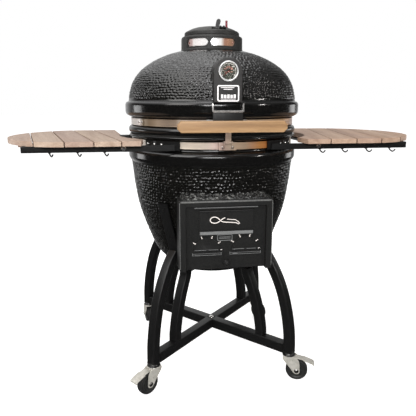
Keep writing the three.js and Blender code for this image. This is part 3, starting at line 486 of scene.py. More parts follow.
def refine(node, m, bevel=0.8, ang=30, name=None, weld=2e-6):
    """A finer copy of a CAD node: triangles merged into faces, edges rounded, normals smoothed."""
    src = frame["nodes"][node]
    me = src.data.copy()
    me.name = (name or node) + "_skin"
    bm = bmesh.new()
    bm.from_mesh(me)
    bmesh.ops.remove_doubles(bm, verts=bm.verts, dist=weld)
    bmesh.ops.dissolve_limit(bm, angle_limit=rad(0.6), verts=bm.verts, edges=bm.edges)
    bmesh.ops.recalc_face_normals(bm, faces=bm.faces)
    bm.to_mesh(me)
    bm.free()
    me.materials.clear()
    me.materials.append(MATS[m] if isinstance(m, str) else m)
    me.polygons.foreach_set("material_index", [0] * len(me.polygons))
    return place(me, (name or node) + "_skin", BODY[node], (node,), ang, None, bevel)


# ------------------------------------------------------------------ camera, floor and light
cam_data = bpy.data.cameras.new("camera")
cam_data.lens = 41.25
cam_data.sensor_width = 36.0
cam_data.clip_end = 60.0
cam = bpy.data.objects.new("camera", cam_data)
cam.location = (-0.269, -1.694 + DY * 0.001, 0.949)
cam.rotation_euler = (rad(77.29), 0.0, rad(-8.59))
bpy.context.scene.collection.objects.link(cam)
bpy.context.scene.camera = cam

world = bpy.data.worlds.new("studio")
bpy.context.scene.world = world
world.use_nodes = True
wt = world.node_tree
bg = wt.nodes["Background"]
# a white backdrop; what the surfaces mirror is a darker room, lighter overhead and to the left
lp = nd(wt, "ShaderNodeLightPath")
geo = nd(wt, "ShaderNodeTexCoord")
sep = nd(wt, "ShaderNodeSeparateXYZ")
wt.links.new(geo.outputs["Generated"], sep.inputs[0])
up = nd(wt, "ShaderNodeMapRange", interpolation_type="SMOOTHSTEP")
up.inputs["From Min"].default_value = 0.22
up.inputs["From Max"].default_value = 0.92
up.inputs["To Min"].default_value = 0.0
up.inputs["To Max"].default_value = 2.3
wt.links.new(sep.outputs["Z"], up.inputs["Value"])
lf = nd(wt, "ShaderNodeMapRange", interpolation_type="SMOOTHSTEP")
lf.inputs["From Min"].default_value = 0.45
lf.inputs["From Max"].default_value = -0.35
lf.inputs["To Min"].default_value = 0.16
lf.inputs["To Max"].default_value = 1.0
wt.links.new(sep.outputs["X"], lf.inputs["Value"])
mu = nd(wt, "ShaderNodeMath")
mu.operation = "MULTIPLY"
wt.links.new(up.outputs[0], mu.inputs[0])
wt.links.new(lf.outputs[0], mu.inputs[1])
ad = nd(wt, "ShaderNodeMath")
ad.operation = "ADD"
wt.links.new(mu.outputs[0], ad.inputs[0])
bk = nd(wt, "ShaderNodeMapRange", interpolation_type="SMOOTHSTEP")
bk.inputs["From Min"].default_value = 0.62
bk.inputs["From Max"].default_value = 0.95
bk.inputs["To Min"].default_value = 0.03
bk.inputs["To Max"].default_value = 0.75
wt.links.new(sep.outputs["Y"], bk.inputs["Value"])
wt.links.new(bk.outputs[0], ad.inputs[1])
mx = nd(wt, "ShaderNodeMix")
mx.data_type = "FLOAT"
wt.links.new(lp.outputs["Is Glossy Ray"], mx.inputs["Factor"])
mx.inputs["A"].default_value = 0.52
wt.links.new(ad.outputs[0], mx.inputs["B"])
mc = nd(wt, "ShaderNodeMix")
mc.data_type = "FLOAT"
wt.links.new(lp.outputs["Is Camera Ray"], mc.inputs["Factor"])
wt.links.new(mx.outputs["Result"], mc.inputs["A"])
mc.inputs["B"].default_value = 1.0
bg.inputs["Color"].default_value = (1.0, 1.0, 1.0, 1.0)
wt.links.new(mc.outputs["Result"], bg.inputs["Strength"])
bpy.context.scene.view_settings.view_transform = "Standard"


def area(name, loc, target, size, power, col=(1, 1, 1), size_y=None):
    d = bpy.data.lights.new(name, "AREA")
    d.energy = power
    d.size = size
    if size_y:
        d.shape = "RECTANGLE"
        d.size_y = size_y
    d.color = col
    o = bpy.data.objects.new(name, d)
    o.location = loc
    o.rotation_euler = (Vector(target) - Vector(loc)).to_track_quat("-Z", "Y").to_euler()
    bpy.context.scene.collection.objects.link(o)
    return o


area("key", (-3.0, -2.4, 3.4), (0, 0, 0.9), 2.6, 78, (1.0, 0.98, 0.95))
area("front", (-0.40, -3.3, 1.72), (0, 0, 0.72), 1.5, 48, (1, 1, 1), 0.42)
area("right", (2.6, -1.7, 1.9), (0, 0, 0.9), 0.24, 16, (1.0, 0.96, 0.92))
area("top", (0.1, -0.2, 3.6), (0, 0, 0.9), 1.6, 30)
area("rim_left", (-2.7, 1.3, 0.7), (0, 0, 0.6), 0.9, 9)
area("rim_right", (2.7, 1.3, 0.8), (0, 0, 0.6), 0.9, 6)

fm = mat("floor_pale", (246, 246, 246), (249, 249, 249), 2.0, (0.75, 0.85), 4.0)
fm.node_tree.nodes["Principled BSDF"].inputs["Emission Color"].default_value = (1.0, 1.0, 1.0, 1.0)
fm.node_tree.nodes["Principled BSDF"].inputs["Emission Strength"].default_value = 0.62
me = bpy.data.meshes.new("floor")
s = 30.0
me.from_pydata([(-s, -s, 0), (s, -s, 0), (s, s, 0), (-s, s, 0)], [], [(0, 1, 2, 3)])
me.materials.append(fm)
floor = bpy.data.objects.new("floor", me)
bpy.context.scene.collection.objects.link(floor)
floor.visible_glossy = False
floor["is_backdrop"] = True


# ------------------------------------------------------------------ glazed ceramic
def dimpled(name, prof, body, node, seg, zlo, zhi, inner, smooth_z=None, cut=None, step=2.0, PV=9.4, PH=12.2, HB=1.9):
    """The outer skin with its dimples modelled, and the inner wall, as one turned shell."""
    out = spline([(r, z, 0) for r, z in prof], step)
    outer = [(p.x, p.y) for p in out]
    inn = [(p.x, p.y) for p in spline([(r, z, 0) for r, z in inner], 16.0)]
    pr = outer + inn
    n = len(pr)
    s = [0.0]
    for i in range(1, len(outer)):
        s.append(s[-1] + math.hypot(outer[i][0] - outer[i - 1][0], outer[i][1] - outer[i - 1][1]))
    nor = []
    for i in range(len(outer)):
        a, b = outer[max(0, i - 1)], outer[min(len(outer) - 1, i + 1)]
        dr, dz = b[0] - a[0], b[1] - a[1]
        l = math.hypot(dr, dz) or 1.0
        nor.append((dz / l, -dr / l))
    if nor[len(outer) // 2][0] < 0:
        nor = [(-a, -b) for a, b in nor]
    V, F, M = [], [], []
    # pebbles in loose rows: each row has its own count and phase, each pebble its own shift, height and width
    rng = np.random.RandomState(len(prof) * 31 + int(prof[0][0]))
    total = s[-1]
    rows = {}
    for j in range(-3, int(total / PV) + 5):
        k = min(range(len(outer)), key=lambda q: abs(s[q] - j * PV))
        cnt = max(8, int(round(2 * math.pi * outer[k][0] / PH)))
        rows[j] = (cnt, rng.rand(), rng.uniform(-0.17, 0.17, cnt), rng.uniform(-0.17, 0.17, cnt), rng.uniform(0.7, 1.1, cnt), rng.uniform(0.85, 1.2, cnt))
    TH = np.arange(seg) * (2 * math.pi / seg)
    C, S = np.cos(TH), np.sin(TH)
    cols = []
    for k, (r, z) in enumerate(pr):
        r2, z2 = np.full(seg, r), np.full(seg, z)
        if k < len(outer) and zlo < z < zhi:
            w = min(1.0, (z - zlo) / 9.0, (zhi - z) / 9.0)
            w = w * w * (3 - 2 * w)
            sk = s[k]
            wob = 0.22 * np.sin(TH * 4.0 + sk * 0.025) + 0.14 * np.sin(TH * 11.0 - sk * 0.05)
            j0 = int(math.floor(sk / PV + 0.5))
            best = np.full(seg, 9.0)
            amp = np.ones(seg)
            for j in (j0 - 1, j0, j0 + 1):
                cnt, ph, JX, JY, A, WD = rows[j]
                u = TH / (2 * math.pi) * cnt + ph + 0.25 * np.sin(TH * 3.0 + j)
                i0 = np.floor(u).astype(int)
                for q in (-1, 0, 1, 2):
                    i = i0 + q
                    m = i % cnt
                    dx = (u - (i + JX[m])) / WD[m]
                    dy = sk / PV + wob - (j + JY[m])
                    d2 = (np.abs(dx) ** 2.3) * 1.25 + (np.abs(dy) ** 2.3) * 1.25
                    hit = d2 < best
                    best = np.where(hit, d2, best)
                    amp = np.where(hit, A[m], amp)
            e = np.clip(1.0 - best / 0.275, 0.0, 1.0)
            h = w * (HB * amp * e ** 0.62 - HB * 0.62)
            r2, z2 = r + nor[k][0] * h, z + nor[k][1] * h
        cols.append(np.stack([r2 * C, r2 * S, z2 + 0 * C], -1))
    V = [tuple(v) for v in np.stack(cols, 1).reshape(-1, 3).tolist()]
    a, b = 0, 1
    for i in range(seg):
        j = (i + 1) % seg
        for k in range(n):
            l = (k + 1) % n
            if cut:
                q = [(V[u][0] + V[w_][0]) / 2 for u, w_ in ((i * n + k, j * n + l),)][0], (V[i * n + k][1] + V[j * n + l][1]) / 2, (V[i * n + k][2] + V[j * n + l][2]) / 2
                if cut(*q):
                    continue
            if pr[k][0] < 1e-6 and pr[l][0] < 1e-6:
                continue
            F.append((i * n + k, j * n + k, j * n + l, i * n + l))
            zc = (pr[k][1] + pr[l][1]) / 2
            M.append(2 if k >= len(outer) - 1 else (1 if (smooth_z and smooth_z(zc)) else 0))
    me = bpy.data.meshes.new(name)
    me.from_pydata([P(p) for p in V], [], F)
    for m in ("glaze", "glaze_smooth", "soot"):
        me.materials.append(MATS[m])
    me.polygons.foreach_set("material_index", M)
    bm = bmesh.new()
    bm.from_mesh(me)
    bmesh.ops.remove_doubles(bm, verts=bm.verts, dist=1e-6)
    bmesh.ops.recalc_face_normals(bm, faces=bm.faces)
    bm.to_mesh(me)
    bm.free()
    return place(me, name, body, (node,), 80)


BASE_OUT = [(120, 386), (138, 386), (156, 391), (178, 404), (195, 424), (209, 446), (225, 484), (240, 524), (254, 565), (264, 604),
            (271, 645), (277, 690), (281, 731), (284, 749), (288.5, 755), (292, 762), (292.4, 772), (292, 782), (289, 788), (283, 792.5),
            (275.5, 798), (275.2, 813), (275.5, 828), (283.5, 831), (288.5, 834.5), (287, 839.6), (280, 840)]
BASE_IN = [(252, 840), (250, 836), (250, 700), (241, 620), (223, 531), (190, 528), (182, 440), (166, 412), (60, 410), (20, 410), (20, 386)]
OPEN = lambda x, y, z: abs(x) < 110.2 and y < 0 and 431.8 < z < 619.8
base = dimpled("base_glazed", BASE_OUT, "base", "base_shell", 900, 398, 752, BASE_IN, PV=9.6, PH=12.4, HB=2.7, step=1.8,
               smooth_z=lambda z: z > 750 or z < 400, cut=OPEN)
DOME_OUT = [(264, 844.4), (283, 844.4), (288.5, 848), (290, 857), (286, 865), (278, 869.5), (277.6, 881), (278, 893.5), (286.5, 898), (295, 903.5),
            (299, 911), (299.4, 924), (299, 937), (295.2, 944), (288.5, 947.5), (285.8, 964), (281, 985), (274, 1005), (262, 1026),
            (246, 1045), (222, 1064), (192, 1082), (157, 1097), (122, 1108), (108, 1111.9)]
DOME_IN = [(62, 1111.9), (62, 1090), (120, 1082), (170, 1066), (208, 1044), (236, 1016), (252, 985), (260, 950), (262, 900), (262, 850)]
dome = dimpled("dome_glazed", DOME_OUT, "lid", "dome_shell", 900, 951, 1107, DOME_IN, PV=8.0, PH=11.6, HB=2.3, step=1.7, smooth_z=lambda z: z < 950)

# sleeve round the draft opening, and felt seals
mb = MB()
for a in ((-112.2, -108.2, 429, 622), (108.2, 112.2, 429, 622), (-112.2, 112.2, 429, 433.2), (-112.2, 112.2, 618.3, 622)):
    zt = 200 if a[2] < 500 else 200
    mb.add(*box_vf(a[0], a[1], -258 if a[3] > 500 else -202, -150, a[2], a[3], 0.6), "black_steel")
mb.obj("draft_sleeve", "base", slot="door_paint")
mb = MB()
mb.add(*lathe_vf([(252.5, 840.3), (283.5, 840.3), (283.5, 841.6), (281, 842), (255, 842), (252.5, 841.6)], 128), "felt")
mb.obj("gasket_lower", "base", "base_gasket")
mb = MB()
mb.add(*lathe_vf([(264.5, 842.6), (267, 842.3), (280, 842.3), (282.5, 842.6), (282.5, 844), (264.5, 844)], 128), "felt")
mb.obj("gasket_upper", "lid", "dome_gasket")

# ------------------------------------------------------------------ fire box
refine("fire_bowl", "brick", 1.6)
refine("charcoal_grate", "iron", 1.0)
mb = MB()
mb.add(*lathe_vf([(218, 662), (220, 660.4), (236, 660.4), (238, 662), (240.5, 700), (240.5, 798), (238.5, 799.9), (224, 799.9), (222.4, 798), (222, 700)], 96), "brick")
mb.obj("fire_ring_clay", "base", "fire_ring")
mb = MB()
ringpath = [(224.5 * math.cos(2 * math.pi * i / 96), 224.5 * math.sin(2 * math.pi * i / 96), 804.5) for i in range(97)]
mb.add(*sweep_vf(ringpath, circ(3.4, 10), (0, 0, 1), cap=True), "bar")
for i in range(-7, 8):
    x = i * 28.5
    h = math.sqrt(223.5 ** 2 - x * x)
    mb.add(*sweep_vf([(x, -h, 805), (x, 0, 805), (x, h, 805)], circ(2.4, 10), (0, 0, 1)), "bar")
mb.add(*sweep_vf([(-222, 0, 802.6), (0, 0, 802.6), (222, 0, 802.6)], circ(2.3, 10), (0, 0, 1)), "bar")
mb.obj("grate_bars", "base", "cooking_grate")

# ------------------------------------------------------------------ bands
def band(name, r, z0, z1, body, node, seam_deg):
    bm = "band" if body == "base" else "band_up"
    mb = MB()
    t = 3.4
    zc = (z0 + z1) / 2
    mb.add(*lathe_vf([(r, z0), (r + t - 0.7, z0), (r + t, z0 + 0.8), (r + t, z0 + 2.2), (r + t - 0.5, z0 + 3.0), (r + t - 0.5, z1 - 3.0), (r + t, z1 - 2.2), (r + t, z1 - 0.8), (r + t - 0.7, z1), (r, z1)], 256), bm)
    # the seam: two folded ears drawn together by bolts
    a = rad(seam_deg)
    T = Matrix.Rotation(a, 4, "Z")
    R = r + t
    mb.add(*box_vf(R - 1.5, R + 1.6, -17, -1.2, z0 + 1.5, z1 - 1.5, 0.7), bm, T)
    mb.add(*box_vf(R - 1.5, R + 1.6, 1.2, 17, z0 + 1.5, z1 - 1.5, 0.7), bm, T)
    for y in (-10, 10):
        c = T @ Vector((R + 1.5, y, zc))
        bolt_dome(mb, c, T.to_3x3() @ Vector((1, 0, 0)), 3.6, 2.4)
    return mb.obj(name, body, node)


band("upper_band_steel", 278.3, 870, 892.5, "lid", "upper_band", 207.6)
band("lower_band_steel", 275.8, 804.5, 826, "base", "lower_band", 172)

# ------------------------------------------------------------------ hinge
refine("hinge_lower_bracket", "black_steel", 0.9)
refine("hinge_upper_bracket", "black_steel", 0.9)
refine("hinge_pin", "bolt", 0.9)


def coil(x0, x1, turns, R=9.6, w=2.1):
    path = []
    n = int(turns * 26)
    for i in range(n + 1):
        a = 2 * math.pi * turns * i / n
        x = x0 + (x1 - x0) * i / n
        path.append((x, 330 + R * math.cos(a), 848 + R * math.sin(a)))
    return sweep_vf(path, circ(w, 8), (1, 0, 0))


for s_, node in ((1, "hinge_spring_right"), (-1, "hinge_spring_left")):
    mb = MB()
    x0, x1 = (8.5, 41.5) if s_ > 0 else (-41.5, -8.5)
    mb.add(*coil(x0, x1, 7), "spring")
    mb.obj(node + "_coil", "base", node)

# ------------------------------------------------------------------ handle
mb = MB()
hw, z0, z1, c = 155, 862, 894, 10
out = [(-hw + c, z0), (hw - c, z0), (hw, z0 + c), (hw, z1 - c), (hw - c, z1), (-hw + c, z1), (-hw, z1 - c), (-hw, z0 + c)]
mb.add(*prism_vf(out, -388, -364, lambda a, b, d: (a, d, b), 4.0, 3), "handle")
for x in (-41, 41):
    pass
mb.obj("handle_bar_wood", "lid", "handle_bar", ang=25)
# bracket: bright foot and arms, a dark skirt under the plate with a bright lip round it
mb = MB()
N = 24
def arc_box(r0, r1, a0, a1, z0, z1, m, mbx, n=16):
    sec = [(r0, z0), (r1, z0), (r1, z1), (r0, z1)]
    V, F = [], []
    for i in range(n + 1):
        a = rad(a0 + (a1 - a0) * i / n)
        V += [(r * math.cos(a), r * math.sin(a), z) for r, z in sec]
    for i in range(n):
        for k in range(4):
            l = (k + 1) % 4
            F.append((i * 4 + k, i * 4 + l, (i + 1) * 4 + l, (i + 1) * 4 + k))
    F.append((0, 1, 2, 3))
    F.append(tuple(reversed(range(n * 4, n * 4 + 4))))
    mbx.add(V, F, m)


arc_box(282.2, 285.6, -102.2, -77.8, 869, 893.5, "sheet", mb)
for x in (-40, 40):
    mb.add(*box_vf(x - 3, x + 3, -364.4, -279.5, 869, 887, 1.2), "sheet")
    mb.add(*box_vf(x - 5.2, x + 5.2, -364, -360.6, 866, 890, 0.8), "sheet")
for x in (-54, 54):
    r = 285.6
    a = math.atan2(-280, x)
    bolt_dome(mb, (r * math.cos(a), r * math.sin(a), 881), (math.cos(a), math.sin(a), 0), 4.2, 3)
mb.add(*box_vf(-44.5, 44.5, -304.6, -300.2, 906, 915.5, 0.8), "black_steel")
mb.add(*box_vf(-44.5, 44.5, -307.4, -304.4, 876, 915.5, 0.8), "black_steel")
mb.add(*box_vf(-20, 20, -306.5, -281, 876, 880, 0.8), "black_steel")
lip = [(-47, 940.5), (-43.4, 940.5), (-43.4, 922.6), (-41, 920.2), (41, 920.2), (43.4, 922.6), (43.4, 940.5), (47, 940.5), (47, 919), (43.6, 915), (-43.6, 915), (-47, 919)]
mb.add(*prism_vf(lip, -309.2, -300.2, lambda a, b, d: (a, d, b), 0.7, 2), "sheet")
mb.obj("handle_mount", "lid", "handle_bracket")

# ------------------------------------------------------------------ latch
# Keeper and strap use the lower band's steel, so they carry its painted reflection run too.
refine("latch_keeper", "band", 0.7)
mb = MB()
mb.add(*box_vf(-6, 12, -297.5, -294.3, 827, 865, 1.2, 3), "band")
mb.add(*box_vf(-6, 12, -297.4, -289.4, 862.4, 865.3, 1.0, 2), "band")
V, F = sweep_vf([(-11.5, -294, 826), (3, -294, 826), (17.5, -294, 826)], circ(2.0, 14), (0, 0, 1))
mb.add(V, F, "bolt")
V, F = sweep_vf([(-6, -294.8, 826), (3, -294.8, 826), (12, -294.8, 826)], circ(3.1, 16), (0, 0, 1))
mb.add(V, F, "band")
mb.add(*box_vf(2.2, 3.8, -298.2, -297.2, 834, 858, 0.4), "band")
mb.obj("latch_strap_steel", "latch", "latch_strap")
mb = MB()
for x in (-11.5, 17.5):
    bolt_dome(mb, (x, -288.2, 811.5), (0, -1, 0), 5.2, 3.8)
mb.obj("latch_screws", "base", slot="bright_steel")

# ------------------------------------------------------------------ thermometer
DZ, PF = 1031, -303
mb = MB()
arch = [(-42, 943), (42, 943)] + [(42 * math.cos(math.pi * i / 40), 1028 + 42 * math.sin(math.pi * i / 40)) for i in range(41)]
sh = refine("thermometer_shroud", "shroud", 1.6, 30)


def dial(prof, m, mbx, seg=64):
    T = Matrix.Translation((0, PF, DZ)) @ Matrix.Rotation(rad(90), 4, "X")
    mbx.add(*lathe_vf(prof, seg), m, T)


mb = MB()
dial([(10.5, 0.3), (28.5, 0.3), (28.7, 2), (28.6, 7.2), (28.0, 8.9), (26.9, 9.9), (25.8, 9.9), (24.8, 9.1), (24.4, 7.6), (24.4, 2.6), (10.5, 2.5)], "chrome", mb, 96)
dial([(0, -121), (2.6, -122), (3, -118), (4, -110), (4, -14), (10.5, -12), (10.5, 2.4), (0, 2.4)], "bolt", mb, 24)
mb.obj("thermometer_bezel", "lid", "thermometer_case")
mb = MB()
dial([(2, 2.8), (24, 2.8), (24, 3.8), (2, 3.8)], "dial", mb, 64)


def dial_arc(r0, r1, a0, a1, y0, y1, m, n=18):
    V, F = [], []
    for i in range(n + 1):
        a = rad(a0 + (a1 - a0) * i / n)
        for r, y in ((r0, y0), (r1, y0), (r1, y1), (r0, y1)):
            V.append((r * math.cos(a), y, DZ + r * math.sin(a)))
    for i in range(n):
        for k in range(4):
            l = (k + 1) % 4
            F.append((i * 4 + k, i * 4 + l, (i + 1) * 4 + l, (i + 1) * 4 + k))
    F += [(0, 1, 2, 3), tuple(reversed(range(n * 4, n * 4 + 4)))]
    mb.add(V, F, m)


yd = PF - 3.8
for a0 in (22, 46, 70, 94, 118, 142):
    dial_arc(7.5, 14.5, a0, a0 + 15, yd + 0.1, yd - 0.15, "pink", 6)
dial_arc(20.4, 21.2, -40, 220, yd + 0.1, yd - 0.2, "white", 60)
for i in range(27):
    a = rad(220 - 10 * i)
    c, s = math.cos(a), math.sin(a)
    r0 = 20.8 if i % 2 else 19.6
    T = Matrix.Translation((0, 0, DZ)) @ Matrix.Rotation(-a, 4, "Y")
    mb.add(*box_vf(r0, 23.0, yd - 0.25, yd + 0.1, -0.28, 0.28, 0.05, 1), "white", T)
mb.add(*box_vf(-13, 13, yd - 0.25, yd + 0.1, DZ - 3.4, DZ - 1.6, 0.1, 1), "pink")
mb.obj("thermometer_face", "lid", "thermometer_dial")
for i, t in enumerate(("100", "200", "300", "400", "500", "600", "700")):
    a = rad(215 - i * 41.6)
    cu = bpy.data.curves.new("dial_number_" + t, "FONT")
    cu.body = t
    cu.size = 0.0038
    cu.extrude = 0.00008
    cu.align_x = "CENTER"
    cu.align_y = "CENTER"
    cu.materials.append(MATS["white"])
    o = bpy.data.objects.new("dial_number_" + t, cu)
    bpy.context.scene.collection.objects.link(o)
    o.location = P((16.2 * math.cos(a), yd - 0.1, DZ + 16.2 * math.sin(a)))
    o.rotation_euler = (rad(90), 0, 0)
    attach(o, "lid")
refine("thermometer_needle", "red", 0.2)

glass = bpy.data.materials.new("dial_glass")
glass.use_nodes = True
g = glass.node_tree.nodes["Principled BSDF"]
g.inputs["Base Color"].default_value = (1, 1, 1, 1)
g.inputs["Roughness"].default_value = 0.02
g.inputs["Transmission Weight"].default_value = 1.0
g.inputs["IOR"].default_value = 1.08
gn = nd(glass.node_tree, "ShaderNodeTexNoise", Scale=120.0)
gt = nd(glass.node_tree, "ShaderNodeTexCoord")
glass.node_tree.links.new(gt.outputs["Object"], gn.inputs["Vector"])
gb = nd(glass.node_tree, "ShaderNodeBump", Strength=0.01, Distance=0.0002)
glass.node_tree.links.new(gn.outputs["Fac"], gb.inputs["Height"])
glass.node_tree.links.new(gb.outputs[0], g.inputs["Normal"])
MATS["glass"] = glass
mb = MB()
dial([(0, 7.2), (24.1, 7.2), (24.1, 8.6), (23.4, 8.8), (0, 8.8)], "glass", mb, 64)
mb.obj("thermometer_glass", "lid", "thermometer_lens")

# badge: raised rim round a dark field with a plain generic device of bars
def rr(x0, x1, z0, z1, r, n=5):
    p = []
    for cx, cz, a0 in ((x1 - r, z0 + r, -90), (x1 - r, z1 - r, 0), (x0 + r, z1 - r, 90), (x0 + r, z0 + r, 180)):
        for i in range(n + 1):
            a = rad(a0 + 90.0 * i / n)
            p.append((cx + r * math.cos(a), cz + r * math.sin(a)))
    return p


def ring_plate(o, i, d0, d1, mbx, m, to):
    """A flat frame between two outlines of the same number of points."""
    n = len(o)
    V = [to(a, b, d0) for a, b in o] + [to(a, b, d0) for a, b in i] + [to(a, b, d1) for a, b in o] + [to(a, b, d1) for a, b in i]
    F = []
    for k in range(n):
        l = (k + 1) % n
        F += [(k, l, n + l, n + k), (2 * n + k, 3 * n + k, 3 * n + l, 2 * n + l), (k, 2 * n + k, 2 * n + l, l), (n + k, n + l, 3 * n + l, 3 * n + k)]
    mbx.add(V, F, m)


TY = lambda a, b, d: (a, d, b)
mb = MB()
mb.add(*prism_vf(rr(-31.6, 31.6, 946.4, 991.6, 5), -304.6, -303.3, TY, 0.3, 1), "badge_in")
ring_plate(rr(-32, 32, 946, 992, 5.5), rr(-28.6, 28.6, 949.4, 988.6, 3.4), -305.5, -303.3, mb, "badge_rim", TY)
for x0, x1, a, b in ((-22, 18, 984.2, 986), (-14, 12, 979.6, 981.4)):
    mb.add(*box_vf(x0, x1, -305.1, -304.4, a, b, 0.2, 1), "badge_rim")
for k in range(5):
    x = -21 + k * 9.2
    mb.add(*box_vf(x, x + 6.4, -305.1, -304.4, 955.5 + 0.0 * k, 966.0 - 1.2 * (k % 2), 0.3, 1), "badge_rim")
mb.add(*box_vf(-22, 22, -305.1, -304.4, 952.2, 953.6, 0.2, 1), "badge_rim")
mb.obj("badge_relief", "lid", "badge_plate", bevel=0.3)

# ------------------------------------------------------------------ top vent
refine("chimney_collar", "cast", 0.9, 30)
refine("vent_damper_ring", "liner", 0.4, 30)
mb = MB()
capp = [(0, 1184), (60, 1178), (80, 1168), (80, 1150.4), (85, 1150.4), (85, 1157.9), (92.0, 1157.9), (93, 1159.4), (93, 1168.6), (92.4, 1170.8), (90, 1173.2),
        (88.5, 1174.4), (87.2, 1174.2), (78, 1179.6), (68, 1183.6), (58, 1186.6), (46, 1188.8), (34, 1190.5), (16, 1191.6), (0, 1192)]
mb.add(*lathe_vf(capp, 96), "cast")
mb.add(*lathe_vf([(92.6, 1160.2), (93.6, 1160.6), (93.6, 1162.2), (92.6, 1162.6)], 96), "cast")
mb.obj("vent_cap_cast", "vent_top", "vent_cap")
refine("vent_lever", "hook", 0.9, 35)
mb = MB()
mb.add(*lathe_vf([(0, 1183), (5, 1183), (5, 1190.6), (4.2, 1191.4), (3.7, 1192.4), (3.6, 1207), (3.9, 1208.5), (3.6, 1210.6), (2.4, 1211.3), (0, 1211.3)], 32), "pinred", Matrix.Translation((47, -18, 0)))
mb.obj("vent_pin_moulded", "vent_top", "vent_pin")
# rivets at the windows' outer ends
mb = MB()
for deg in (-146.3, -55.2):
    a = rad(deg)
    r = 99.6
    T = axis_to((r * math.cos(a), r * math.sin(a), 1133.5), (math.cos(a), math.sin(a), 0))
    mb.add(*lathe_vf([(0, -1), (3.4, -1), (3.4, 0.2), (2.8, 0.5), (1.6, 0.7), (0, 0.8)], 20), "rivet", T)
mb.obj("vent_rivets", "vent_top", slot="vent_liner")

# ------------------------------------------------------------------ draft door
refine("draft_frame", "door", 1.0, 30)
refine("ash_drawer", "door", 0.9, 30)
fl = refine("starter_flap", "door", 0.6, 30)
refine("damper_left", "door", 0.6, 30)
refine("damper_right", "door", 0.6, 30)
mb = MB()
mb.add(*box_vf(-83.4, 83.4, -299.2, -298.2, 545.6, 555.6, 0.3, 1), "doorlip")
# a plain outline of a firelighter: a loop handle, a crossing and a blade
loop = [(-20, 590), (-27, 597), (-37, 600.5), (-46, 598.5), (-50.5, 591.5), (-47.5, 584.5), (-38, 581.5), (-28, 582.5), (-20, 588), (-12, 594), (-4, 597.5)]
mb.add(*sweep_vf([(p.x, -294.5, p.y) for p in spline([(a, b, 0) for a, b in loop], 2.0)], rsec(2.8, 0.9, 0.4, 2), (0, -1, 0)), "white")
mb.add(*sweep_vf([(-21, -294.5, 589), (-10, -294.5, 584), (4, -294.5, 583), (30, -294.5, 580.5), (39, -294.5, 576)], rsec(2.6, 0.9, 0.4, 2), (0, -1, 0)), "white")
mb.add(*sweep_vf([(2, -294.5, 592.5), (28, -294.5, 590), (38, -294.5, 583), (42, -294.5, 577)], rsec(2.2, 0.9, 0.4, 2), (0, -1, 0)), "white")
mb.obj("flap_detail", "flap", slot="door_paint")
mb = MB()
# label plate without lettering
ring_plate(rr(-28, 20, 523, 543, 3.5), rr(-26, 18, 525, 541, 2.2), -291.24, -290.8, mb, "doorlip", TY)
mb.add(*prism_vf(rr(-26, 18, 525, 541, 2.2), -291.12, -290.8, TY, 0.1, 1), "door")
mb.add(*box_vf(-22, 14, -291.22, -290.9, 534.2, 536.0, 0.1, 1), "doorlip")
mb.add(*box_vf(-22, 14, -291.22, -290.9, 530.0, 531.8, 0.1, 1), "doorlip")
# setting marks round the dampers
for cx, cz in ((-60, 493), (60, 495)):
    for dx, dz in ((-38.5, 24), (-16, 40), (15, 40.5), (37.5, 24)):
        a = math.atan2(dz, dx)
        T = Matrix.Translation((cx + dx, 0, cz + dz)) @ Matrix.Rotation(-a, 4, "Y")
        mb.add(*box_vf(-3.2, 1.6, -291.22, -290.9, -1.5, 1.5, 0.1, 1), "white", T)
        mb.add(*box_vf(2.4, 6.0, -291.22, -290.9, -1.1, 1.1, 0.1, 1), "white", T)
for x, z in ((-90, 478), (29, 479)):
    mb.add(*box_vf(x - 8, x + 8, -291.22, -290.9, z - 1.6, z + 1.6, 0.1, 1), "doorlip")
# a rolled lip over the slot at the top of the panel
lipth = [(-100, -293.4, 618), (-104, -293.6, 622), (-100, -293.8, 627.5), (95, -293.8, 627.5), (99, -293.6, 623), (95, -293.4, 618.6)]
mb.add(*sweep_vf([(-99, -293.2, 629.5), (0, -293.2, 629.5), (99, -293.2, 629.5)], circ(1.6, 10), (0, 0, 1)), "doorlip")
for x0, x1 in ((-105, -16), (13, 110)):
    mb.add(*box_vf(x0, x1, -291.22, -290.9, 477.0, 478.4, 0.1, 1), "doorlip")
    mb.add(*box_vf(x0, x1, -291.22, -290.9, 482.6, 483.6, 0.1, 1), "doorlip")
    mb.add(*box_vf(x0 - 1.6, x0, -291.22, -290.9, 477.0, 486.0, 0.1, 1), "doorlip")
    mb.add(*box_vf(x1, x1 + 1.6, -291.22, -290.9, 477.0, 486.0, 0.1, 1), "doorlip")
mb.obj("door_detail", "drawer", slot="door_paint")
# the frame's rolled outer edge and a strip along its top, in lighter grey: painted highlights along the edges
mb = MB()
mb.add(*sweep_vf([(-144.5, -298.6, 438), (-144.5, -298.6, 540), (-144.5, -298.6, 646), (-141, -298.6, 651.2), (0, -298.6, 651.2), (141, -298.6, 651.2), (144.5, -298.6, 646), (144.5, -298.6, 540), (144.5, -298.6, 438)], circ(1.1, 10), (0, 1, 0)), "edge")
mb.add(*box_vf(-140, 140, -299.5, -298.7, 647.2, 650.4, 0.3, 1), "edge")
mb.obj("door_frame_edge", "base", slot="door_paint")
